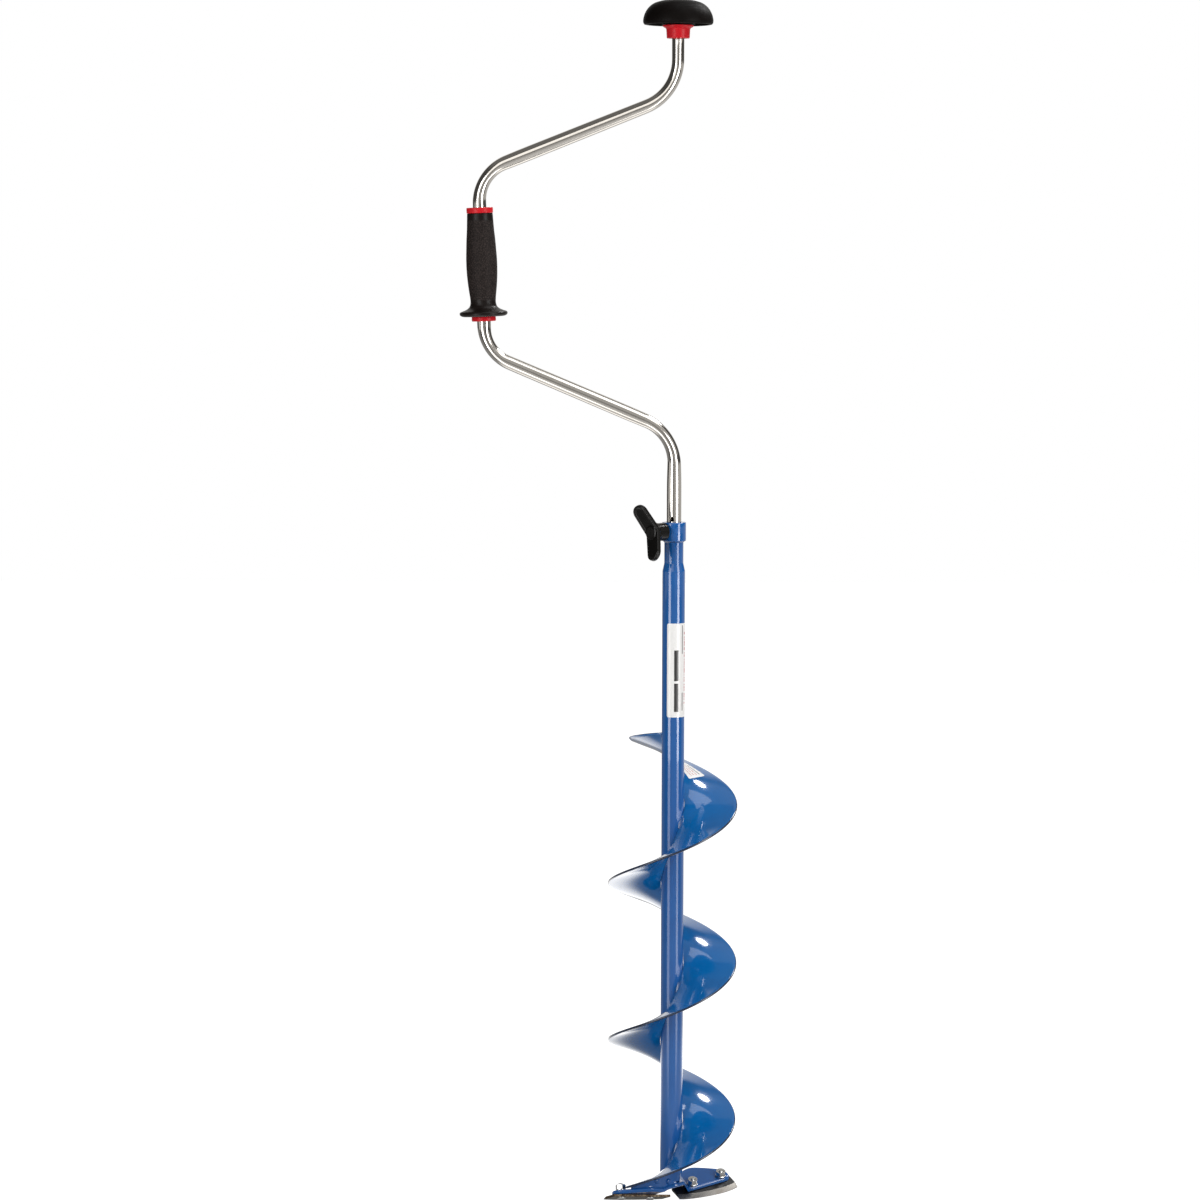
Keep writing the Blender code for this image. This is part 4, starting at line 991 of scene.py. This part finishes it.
def make_head():
    line = head_outline()
    n = len(line)
    area = sum(line[i].x * line[(i + 1) % n].y - line[(i + 1) % n].x * line[i].y for i in range(n))
    normals = []
    for i in range(n):
        t = (line[(i + 2) % n] - line[i - 2]).normalized()
        normals.append(Vector((-t.y, t.x)) * (1 if area > 0 else -1))

    def inner(e):
        moved = [p + m * e for p, m in zip(line, normals)]
        for _ in range(2):
            moved = [(moved[i - 1] + moved[i] * 2 + moved[(i + 1) % n]) / 4 for i in range(n)] if e > 0.01 else moved
        return moved

    top_r, low_r = 1.7, 0.7
    verts, faces = [], []

    def add_ring(points, heights):
        start = len(verts)
        verts.extend(Vector((p.x, p.y, h)) for p, h in zip(points, heights))
        return start

    rings = []
    for k in range(5):
        u = math.pi / 2 * (1 - k / 4)
        points = inner(low_r * math.sin(u)) if k < 4 else line
        rings.append(add_ring(points, [head_height(p.x, p.y, 0.0) + low_r * (1 - math.cos(math.pi / 2 - u)) for p in points]))
    for k in range(7):
        u = math.pi / 2 * k / 6
        points = inner(top_r * (1 - math.cos(u)))
        rings.append(add_ring(points, [head_height(p.x, p.y, SEAT_T) - top_r * (1 - math.sin(u)) for p in points]))
    for a, b in zip(rings, rings[1:]):
        for j in range(n):
            k = (j + 1) % n
            faces.append((a + j, a + k, b + k, b + j))
    bolts = [(on_blade(s, BOLT_W, 2.0, twin).xy, 2.9) for twin in (False, True) for s in BOLT_S]
    for ring, lift in ((rings[0], 0.0), (rings[-1], SEAT_T)):
        rim = [Vector((verts[ring + j].x, verts[ring + j].y)) for j in range(n)]
        grid = []
        xs = [p.x for p in rim]
        ys = [p.y for p in rim]
        step = 2.2
        for gx in np.arange(min(xs), max(xs), step):
            for gy in np.arange(min(ys), max(ys), step):
                p = Vector((float(gx), float(gy)))
                if min((q - p).length for q in rim) > 1.1 and inside(p, rim) and all((p - c).length > r + 0.8 for c, r in bolts):
                    grid.append(p)
        holes = [[c + Vector((math.cos(t), math.sin(t))) * r for t in [2 * math.pi * k / 24 for k in range(24)]] for c, r in bolts]
        points = rim + [p for hole in holes for p in hole] + grid
        edges = [(j, (j + 1) % n) for j in range(n)]
        for h in range(len(holes)):
            edges += [(n + h * 24 + k, n + h * 24 + (k + 1) % 24) for k in range(24)]
        got, _, tris, _, _, _ = geometry.delaunay_2d_cdt(points, edges, [], 0, 1e-5)
        start = len(verts)
        verts.extend(Vector((p.x, p.y, head_height(p.x, p.y, lift))) for p in got)
        for tri in tris:
            c = (got[tri[0]] + got[tri[1]] + got[tri[2]]) / 3
            if inside(c, rim) and all((c - m).length > r - 0.05 for m, r in bolts):
                faces.append(tuple(start + v for v in tri))
    for c, r in bolts:
        start = len(verts)
        ring = [c + Vector((math.cos(t), math.sin(t))) * r for t in [2 * math.pi * k / 24 for k in range(24)]]
        verts.extend(Vector((p.x, p.y, head_height(p.x, p.y, 0.0))) for p in ring)
        verts.extend(Vector((p.x, p.y, head_height(p.x, p.y, SEAT_T))) for p in ring)
        faces += [(start + k, start + (k + 1) % 24, start + 24 + (k + 1) % 24, start + 24 + k) for k in range(24)]
    put("pressed_cutting_head", verts, faces, BLUE, "auger", ["cutting_head"], 40)


def make_gusset():
    """Upright web round the foot of the shaft: its foot is radiused into the head's sheet, its top follows the flight."""
    line = [Vector(p) for p in GUSSET_PLAN]
    for _ in range(4):
        line = [line[0]] + [q for a, b in zip(line, line[1:]) for q in (a.lerp(b, 0.25), a.lerp(b, 0.75))] + [line[-1]]
    rings = []
    for i, p in enumerate(line):
        along = (line[min(i + 1, len(line) - 1)] - line[max(i - 1, 0)]).normalized()
        out = Vector((along.y, -along.x))
        low = head_height(p.x, p.y, SEAT_T)
        r = p.length
        high = helix(r, math.degrees(math.atan2(p.x, -p.y)) - 360.0).z - FLIGHT_T / 2 * math.hypot(1.0, PITCH / (2 * math.pi) / r) - 0.10
        tall = max(0.6, high - low)
        radius = min(2.6, 0.45 * tall)
        section = [(radius + 0.3, low - 1.4)]
        section += [(radius - radius * math.sin(t), low + radius - radius * math.cos(t)) for t in [math.pi / 2 * k / 7 for k in range(8)]]
        section += [(0.0, low + radius + (high - 0.5 - low - radius) * k / 6) for k in range(1, 7)]
        section += [(-0.5, high), (-GUSSET_T + 0.5, high), (-GUSSET_T, high - 0.5), (-GUSSET_T, low + radius), (-GUSSET_T - radius * 0.5, low + 0.1), (-GUSSET_T - radius * 0.6, low - 1.4)]
        rings.append([Vector((p.x + out.x * o, p.y + out.y * o, z)) for o, z in section])
    verts = [v for ring in rings for v in ring]
    n = len(rings[0])
    put("head_upright_web", verts, strips(rings) + [tuple(range(n)), tuple(range(len(verts) - n, len(verts)))], BLUE, "auger", ["head_gusset"], 50)
    for tag, x, y, z in GUSSET_RIVETS:
        near = min(range(1, len(line) - 1), key=lambda k: (line[k] - Vector((x, y))).length)
        along = (line[near + 1] - line[near - 1]).normalized()
        out = Vector((along.y, -along.x, 0.0))
        foot = Vector((line[near].x, line[near].y, z)) + out * 0.4
        lathe(f"head_rivet_dome_{tag}", [(0, 1.95), (1.4, 1.75), (2.4, 1.15), (3.0, 0.25, 0.2), (3.15, -0.9), (0, -0.9)], BLUE, "auger", [f"head_rivet_{tag}"], 48, False, at(foot, out), 60)


def make_fasteners():
    for side, twin in (("a", False), ("b", True)):
        for number, s in enumerate(BOLT_S, start=1):
            tag = f"{side}{number}"
            foot = on_blade(s, BOLT_W, 0.0, twin)
            up = (on_blade(s, BOLT_W, 1.0, twin) - foot).normalized()
            place = at(foot, up)
            low = -BLADE_T - 0.05
            # threaded end above the nut, with a domed point, and a button head with a hex socket below
            threaded(f"seat_bolt_thread_{tag}", foot, up, low, 12.4, BOLT_R, 0.32, 0.8, ZINC, "auger", [f"blade_bolt_{tag}"], 0.7, 30)
            rings = []
            outer = rounded([(4.7, low), (4.75, low - 0.6, 0.3), (4.3, low - 1.9, 1.0), (3.0, low - 2.75, 0.4), (1.75, low - 2.8, 0.2)], False, 4)
            for r, z in outer:
                rings.append([place @ Vector((r * math.cos(t), r * math.sin(t), z)) for t in [2 * math.pi * k / 48 for k in range(48)]])
            for z in (low - 2.75, low - 1.2):
                ring = []
                for k in range(48):
                    t = 2 * math.pi * k / 48
                    r = 1.5 * math.cos(math.pi / 6) / math.cos((t % (math.pi / 3)) - math.pi / 6)
                    ring.append(place @ Vector((r * math.cos(t), r * math.sin(t), z)))
                rings.append(ring)
            verts = [p for ring in rings for p in ring]
            faces = strips(rings) + [tuple(range(48)), tuple(range(len(verts) - 48, len(verts)))]
            put(f"seat_bolt_head_{tag}", verts, faces, ZINC, "auger", (), 30)
            # split spring washer
            w0 = SEAT_T + GAP + 0.1
            rings = []
            for k in range(61):
                t = math.radians(8 + 344 * k / 60)
                rise = 0.35 * k / 60
                section = [(BOLT_R + 0.3, w0 + rise), (5.5, w0 + rise), (5.6, w0 + 0.2 + rise), (5.6, w0 + 1.1 + rise), (5.45, w0 + 1.25 + rise), (BOLT_R + 0.3, w0 + 1.25 + rise)]
                rings.append([place @ Vector((r * math.cos(t), r * math.sin(t), z)) for r, z in section])
            verts = [p for ring in rings for p in ring]
            put(f"seat_washer_split_{tag}", verts, strips(rings) + [tuple(range(6)), tuple(range(len(verts) - 6, len(verts)))], ZINC, "auger", [f"blade_washer_{tag}"], 30)
            # hex nut: flats meet the turned chamfers in curved lines
            z0, z1 = w0 + 1.5, w0 + 1.5 + 5.0
            turn = math.radians(12 if not twin else 40)
            rings = []
            for f in (0.0, 0.10, 0.2, 0.35, 0.5, 0.65, 0.8, 0.9, 1.0):
                z = z0 + (z1 - z0) * f
                ring = []
                for k in range(96):
                    t = 2 * math.pi * k / 96
                    flat = 4.81 / math.cos((t % (math.pi / 3)) - math.pi / 6)
                    edge = min(f, 1 - f) * (z1 - z0)
                    cone = 4.95 + edge * 1.9
                    r = min(flat, cone, 5.5)
                    ring.append(place @ Vector((r * math.cos(t + turn), r * math.sin(t + turn), z)))
                rings.append(ring)
            for r, z in ((3.3, z1), (2.75, z1 - 0.55)):
                rings.append([place @ Vector((r * math.cos(2 * math.pi * k / 96), r * math.sin(2 * math.pi * k / 96), z)) for k in range(96)])
            verts = [p for ring in rings for p in ring]
            put(f"seat_nut_hex_{tag}", verts, strips(rings) + [tuple(range(96)), tuple(range(len(verts) - 96, len(verts)))], ZINC, "auger", [f"blade_nut_{tag}"], 25)


# ================================================================ labels
def make_labels():
    """Paper-thin plates with round corners, wrapped on what they are stuck to."""
    def corner_pull(u, v, wide, tall, radius):
        """How far an edge point is drawn in along v near a corner."""
        du = min(u, 1 - u) * wide
        if du >= radius:
            return 0.0
        return radius - math.sqrt(max(0.0, radius**2 - (radius - du) ** 2))

    a0, a1, z0, z1 = -34.5, 118.0, 520.2, 619.2
    cols, rows = 80, 24
    wide, tall = math.radians(a1 - a0) * 12.1, z1 - z0
    grid = []
    for lift in (0.04, 0.16):
        for i in range(cols + 1):
            u = i / cols
            a = math.radians(a0 + (a1 - a0) * u)
            pull = corner_pull(u, 0, wide, tall, 1.6)
            out = Vector((math.sin(a), -math.cos(a), 0)) * (SHAFT_R + lift)
            for j in range(rows + 1):
                z = z0 + pull + (tall - 2 * pull) * j / rows
                grid.append(out + Vector((0, 0, z)))
    faces = []
    per = (cols + 1) * (rows + 1)
    for layer in (0, 1):
        for i in range(cols):
            for j in range(rows):
                a = layer * per + i * (rows + 1) + j
                quad = (a, a + rows + 1, a + rows + 2, a + 1)
                faces.append(quad if layer else quad[::-1])
    border = [i * (rows + 1) for i in range(cols + 1)] + [cols * (rows + 1) + j for j in range(1, rows + 1)] + [i * (rows + 1) + rows for i in reversed(range(cols))] + [j for j in reversed(range(1, rows))]
    for i, v in enumerate(border):
        w = border[(i + 1) % len(border)]
        faces.append((v, w, per + w, per + v))
    put("shaft_label_plate", grid, faces, LABEL, "auger", ["shaft_label"], 50)

    # flight label: a plain rectangle laid on the top face of the last turn, with a few ruled blocks
    r0, r1, b0, b1 = 26.0, 53.0, 499.0, 545.0
    cols, rows = 44, 22
    grid = []
    for lift in (FLIGHT_T / 2 + 0.05, FLIGHT_T / 2 + 0.17):
        for i in range(cols + 1):
            u = i / cols
            a = b0 + (b1 - b0) * u
            pull = corner_pull(u, 0, 33.0, 27.0, 1.5)
            for j in range(rows + 1):
                r = r0 + pull + (r1 - r0 - 2 * pull) * j / rows
                wave = noise.noise(Vector((r * 0.028, a * 0.014, 3.1))) * 0.10 * smooth((r - 20) / 40)
                grid.append(helix(r, a, lift + wave))
    per = (cols + 1) * (rows + 1)
    faces = []
    slots = []
    for layer in (0, 1):
        for i in range(cols):
            for j in range(rows):
                a = layer * per + i * (rows + 1) + j
                quad = (a, a + rows + 1, a + rows + 2, a + 1)
                faces.append(quad if layer else quad[::-1])
                ink = 0
                if layer and j in (5, 9, 13) and 4 <= i <= 36 and (i * 7 + j * 3) % 5 != 0:
                    ink = 1
                if layer and j == 17 and 4 <= i <= 20:
                    ink = 2
                slots.append(ink)
    border = [i * (rows + 1) for i in range(cols + 1)] + [cols * (rows + 1) + j for j in range(1, rows + 1)] + [i * (rows + 1) + rows for i in reversed(range(cols))] + [j for j in reversed(range(1, rows))]
    for i, v in enumerate(border):
        w = border[(i + 1) % len(border)]
        faces.append((v, w, per + w, per + v))
        slots.append(0)
    plain = label_stock("flight_label_stock", [])
    red_ink = plastic("label_ink_red", (0.55, 0.16, 0.13), (0.62, 0.20, 0.16), 0.35, 0.45, 900.0, 0.03)
    black_ink = plastic("label_ink_black", (0.06, 0.05, 0.05), (0.09, 0.08, 0.08), 0.35, 0.45, 900.0, 0.03)
    put("flight_label_plate", grid, faces, [plain, red_ink, black_ink], "auger", ["flight_label"], 50, slots)


make_shaft()
make_wing_screw()
make_handle()
make_knob()
make_grip()
make_flight()
make_welds()
make_blade("cutting_blade_a", "blade_a", False)
make_blade("cutting_blade_b", "blade_b", True)
make_head()
make_gusset()
make_fasteners()
make_labels()

# CAD nodes whose shape is right keep it and take a finished material
for node, mat in (("handle_guide_bush", BLACK_BUSH), ("spindle_plug", ZINC_INNER), ("knob_screw", ZINC_INNER), ("knob_washer", ZINC_INNER)):
    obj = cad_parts[node]
    if not obj.data.materials:
        obj.data.materials.append(mat)
    for i in range(len(obj.data.materials)):
        obj.data.materials[i] = mat


# ================================================================ floor, light, camera
def make_floor():
    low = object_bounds()[0].z - 0.0006
    mesh = bpy.data.meshes.new("studio_floor")
    size, steps = 7.0, 14
    verts = [(-size + 2 * size * i / steps, -size + 2 * size * j / steps, low) for i in range(steps + 1) for j in range(steps + 1)]
    faces = [(i * (steps + 1) + j, (i + 1) * (steps + 1) + j, (i + 1) * (steps + 1) + j + 1, i * (steps + 1) + j + 1) for i in range(steps) for j in range(steps)]
    mesh.from_pydata(verts, [], faces)
    obj = bpy.data.objects.new("studio_floor", mesh)
    SCENE.collection.objects.link(obj)
    # The floor glows. Camera rays see it an even white and diffuse rays a dim even glow; reflections see a painted
    # pattern of light and shade: brighter behind the object, a painted shadow under it, painted pools of strip-light
    # ahead, dimmer far off to either side.
    n = Nodes("studio_floor_painted_glow")
    tone = n.blend(n.noise(3.0, 2.0), (0.30, 0.30, 0.30), (0.32, 0.32, 0.32))
    place = n.add("ShaderNodeSeparateXYZ")
    n.link(n.where, place.inputs[0])
    x, y = place.outputs["X"], place.outputs["Y"]
    behind = n.soft(y, 0.14, 0.38)
    # painted shadow: the glow is dimmed under the object
    under = n.math("MULTIPLY", n.soft(n.math("ABSOLUTE", y), 0.34, 0.12), n.soft(n.math("ABSOLUTE", x), 0.50, 0.25))
    ahead = n.soft(y, -0.30, -0.60)
    turn = n.math("MULTIPLY", n.math("ARCTAN2", x, n.math("MULTIPLY", y, -1.0)), 180.0 / math.pi)
    # painted pools of light from the two strip lights on the floor ahead
    left = n.math("MULTIPLY", n.soft(turn, -54.0, -51.0), n.soft(turn, -28.0, -31.0))
    right = n.math("MULTIPLY", n.soft(turn, 37.0, 40.0), n.soft(turn, 61.0, 58.0))
    painted_light_pools = n.math("MULTIPLY", n.math("ADD", n.math("MULTIPLY", left, 2.4), n.math("MULTIPLY", right, 3.2)), ahead)
    level = n.math("ADD", 0.60, n.math("MULTIPLY", behind, 1.1))
    level = n.math("SUBTRACT", level, n.math("MULTIPLY", ahead, 0.52))
    level = n.math("SUBTRACT", level, n.math("MULTIPLY", under, 0.46))
    level = n.math("ADD", level, painted_light_pools)
    middle = n.math("MULTIPLY", n.math("MULTIPLY", n.soft(turn, -34.0, -28.0), n.soft(turn, 36.0, 30.0)), ahead)
    level = n.math("ADD", level, n.math("MULTIPLY", middle, 0.32))
    reach = n.math("SQRT", n.math("ADD", n.math("MULTIPLY", x, x), n.math("MULTIPLY", y, y)))
    far = n.soft(reach, 0.65, 0.95)
    level = n.math("MULTIPLY", level, n.math("SUBTRACT", 1.0, n.math("MULTIPLY", n.math("MULTIPLY", far, n.soft(turn, -60.0, -66.0)), 0.90)))
    level = n.math("MULTIPLY", level, n.math("SUBTRACT", 1.0, n.math("MULTIPLY", n.math("MULTIPLY", far, n.soft(turn, 62.0, 68.0)), 0.72)))
    path = n.add("ShaderNodeLightPath")
    # only reflections see the painted pattern of light and shade
    lit = n.math("ADD", n.math("MULTIPLY", level, path.outputs["Is Glossy Ray"]), n.math("MULTIPLY", 0.22, path.outputs["Is Diffuse Ray"]))
    lit = n.math("ADD", lit, n.math("MULTIPLY", 1.05, path.outputs["Is Camera Ray"]))
    n.finish(tone, None, None, None, Roughness=0.9, Specular_IOR_Level=0.0)
    n.link(n.blend(path.outputs["Is Camera Ray"], (1.0, 0.985, 0.96), (1.0, 1.0, 1.0)), n.shader.inputs["Emission Color"])
    n.link(lit, n.shader.inputs["Emission Strength"])
    mesh.materials.append(n.mat)


def make_world():
    """White behind the object, dark behind the camera, dim grey sides and ceiling."""
    world = bpy.data.worlds.new("studio")
    SCENE.world = world
    world.use_nodes = True
    tree = world.node_tree
    tree.nodes.clear()

    def add(kind, **settings):
        node = tree.nodes.new(kind)
        for key, value in settings.items():
            setattr(node, key, value)
        return node

    def calc(operation, *values, clamp=False):
        node = add("ShaderNodeMath", operation=operation, use_clamp=clamp)
        for socket, value in zip(node.inputs, values):
            if isinstance(value, (int, float)):
                socket.default_value = value
            else:
                tree.links.new(value, socket)
        return node.outputs[0]

    def step(value, low, high, a=0.0, b=1.0):
        node = add("ShaderNodeMapRange", interpolation_type="SMOOTHSTEP")
        for key, number in (("From Min", low), ("From Max", high), ("To Min", a), ("To Max", b)):
            node.inputs[key].default_value = number
        tree.links.new(value, node.inputs["Value"])
        return node.outputs["Result"]

    split = add("ShaderNodeSeparateXYZ")
    tree.links.new(add("ShaderNodeTexCoord").outputs["Generated"], split.inputs[0])
    x, y, z = (split.outputs[k] for k in "XYZ")
    turn = calc("MULTIPLY", calc("ARCTAN2", x, calc("MULTIPLY", y, -1.0)), 180 / math.pi)
    up = calc("MULTIPLY", calc("ARCSINE", z), 180 / math.pi)
    away = calc("ABSOLUTE", turn)

    def zone(az0, az1, az_soft, up0, up1, up_soft, strength):
        a = calc("MULTIPLY", step(turn, az0 - az_soft, az0 + az_soft), step(turn, az1 - az_soft, az1 + az_soft, 1.0, 0.0))
        b = calc("MULTIPLY", step(up, up0 - up_soft, up0 + up_soft), step(up, up1 - up_soft, up1 + up_soft, 1.0, 0.0))
        return calc("MULTIPLY", calc("MULTIPLY", a, b), strength)

    level = calc("ADD", 0.07, calc("MULTIPLY", calc("MULTIPLY", step(away, 147, 156), step(up, 30, 46, 1.0, 0.0)), 0.78))
    for part in (
        zone(-30, -3, 3, 5.5, 42, 2, 1.45),      # white card left of the camera
        zone(-23, 12, 3, -5.5, 5.5, 0.5, 0.24),  # the gap that the camera looks through
        zone(-2, 100, 5, 8, 100, 3, 0.42),       # pale wall and ceiling on the right
        zone(-101, -54, 3, -9, -0.3, 0.4, 0.62),
        zone(59, 150, 3, -9, -0.3, 0.4, 0.46),
        zone(10, 39, 2, -5.5, -0.4, 0.4, 0.60),
        zone(-180, -30, 2, 45, 100, 6, 0.11),
        zone(98, 180, 5, 46, 100, 5, 0.34),
    ):
        level = calc("ADD", level, part)
    level = calc("ADD", level, 0.0)
    shade = add("ShaderNodeBackground")
    tint = add("ShaderNodeCombineColor")
    for key, factor in (("Red", 1.02), ("Green", 1.0), ("Blue", 0.965)):
        tree.links.new(calc("MULTIPLY", level, factor), tint.inputs[key])
    tree.links.new(tint.outputs[0], shade.inputs["Color"])
    soft = add("ShaderNodeBackground")
    soft.inputs["Color"].default_value = (0.20, 0.198, 0.193, 1.0)
    diffuse = add("ShaderNodeMixShader")
    white = add("ShaderNodeBackground")
    white.inputs["Color"].default_value = (1.0, 1.0, 1.0, 1.0)
    mix = add("ShaderNodeMixShader")
    path = add("ShaderNodeLightPath")
    tree.links.new(path.outputs["Is Diffuse Ray"], diffuse.inputs["Fac"])
    tree.links.new(shade.outputs[0], diffuse.inputs[1])
    tree.links.new(soft.outputs[0], diffuse.inputs[2])
    tree.links.new(path.outputs["Is Camera Ray"], mix.inputs["Fac"])
    tree.links.new(diffuse.outputs[0], mix.inputs[1])
    tree.links.new(white.outputs[0], mix.inputs[2])
    tree.links.new(mix.outputs[0], add("ShaderNodeOutputWorld").inputs["Surface"])


def softbox(name, azimuth, distance, height, size, radiance, aim=(0, 0, 0.6), colour=(1, 1, 1), roll=0.0, oval=False):
    """A rectangular soft light at an azimuth from -Y towards +X, aimed at a point. radiance is its brightness seen from the front."""
    data = bpy.data.lights.new(name, "AREA")
    data.shape = "ELLIPSE" if oval else "RECTANGLE"
    data.size, data.size_y = size
    data.energy = radiance * math.pi * size[0] * size[1] * (math.pi / 4 if oval else 1.0)
    data.color = colour
    obj = bpy.data.objects.new(name, data)
    a = math.radians(azimuth)
    obj.location = (math.sin(a) * distance, -math.cos(a) * distance, height)
    look = (Vector(aim) - obj.location).normalized()
    obj.rotation_euler = (look.to_track_quat("-Z", "Y").to_matrix() @ Matrix.Rotation(math.radians(roll), 3, "Z")).to_euler()
    SCENE.collection.objects.link(obj)
    return obj


make_floor()
make_world()
softbox("left_strip", -41.0, 1.9, 0.98, (0.80, 1.56), 4.2, (0, 0, 0.98))
softbox("right_strip", 49.0, 1.9, 0.98, (0.72, 1.56), 6.4, (0, 0, 0.98))
softbox("overhead", 60.0, 0.72, 2.50, (1.2, 1.7), 1.9, (0.45, -0.25, 0.4))
softbox("back_lamp", 133.0, 1.67, 2.50, (0.46, 0.66), 30.0, (0, 0, 0.35), oval=True)

camera = bpy.data.cameras.new("camera")
camera.lens, camera.sensor_width = 3631.3 / 1200 * 36, 36.0
camera.clip_start, camera.clip_end = 0.05, 60.0
TILT, ROLL = 0.0989, 0.0024
right = Vector((1, 0, 0))
forward = Vector((0, math.cos(TILT), -math.sin(TILT)))
down = Vector((0, -math.sin(TILT), -math.cos(TILT)))
across = right * math.cos(ROLL) - down * math.sin(ROLL)
upward = -(right * math.sin(ROLL) + down * math.cos(ROLL))
turned_to = Matrix((across, upward, -forward)).transposed().to_4x4()
camera_object = bpy.data.objects.new("camera", camera)
camera_object.matrix_world = Matrix.Translation((-0.07724, -3.79187, 1.01896)) @ turned_to
SCENE.collection.objects.link(camera_object)
SCENE.camera = camera_object
SCENE.view_settings.view_transform = "Standard"
SCENE.view_settings.look = "None"
SCENE.view_settings.exposure = 0.0
SCENE.view_settings.gamma = 1.0

bpy.context.view_layer.update()
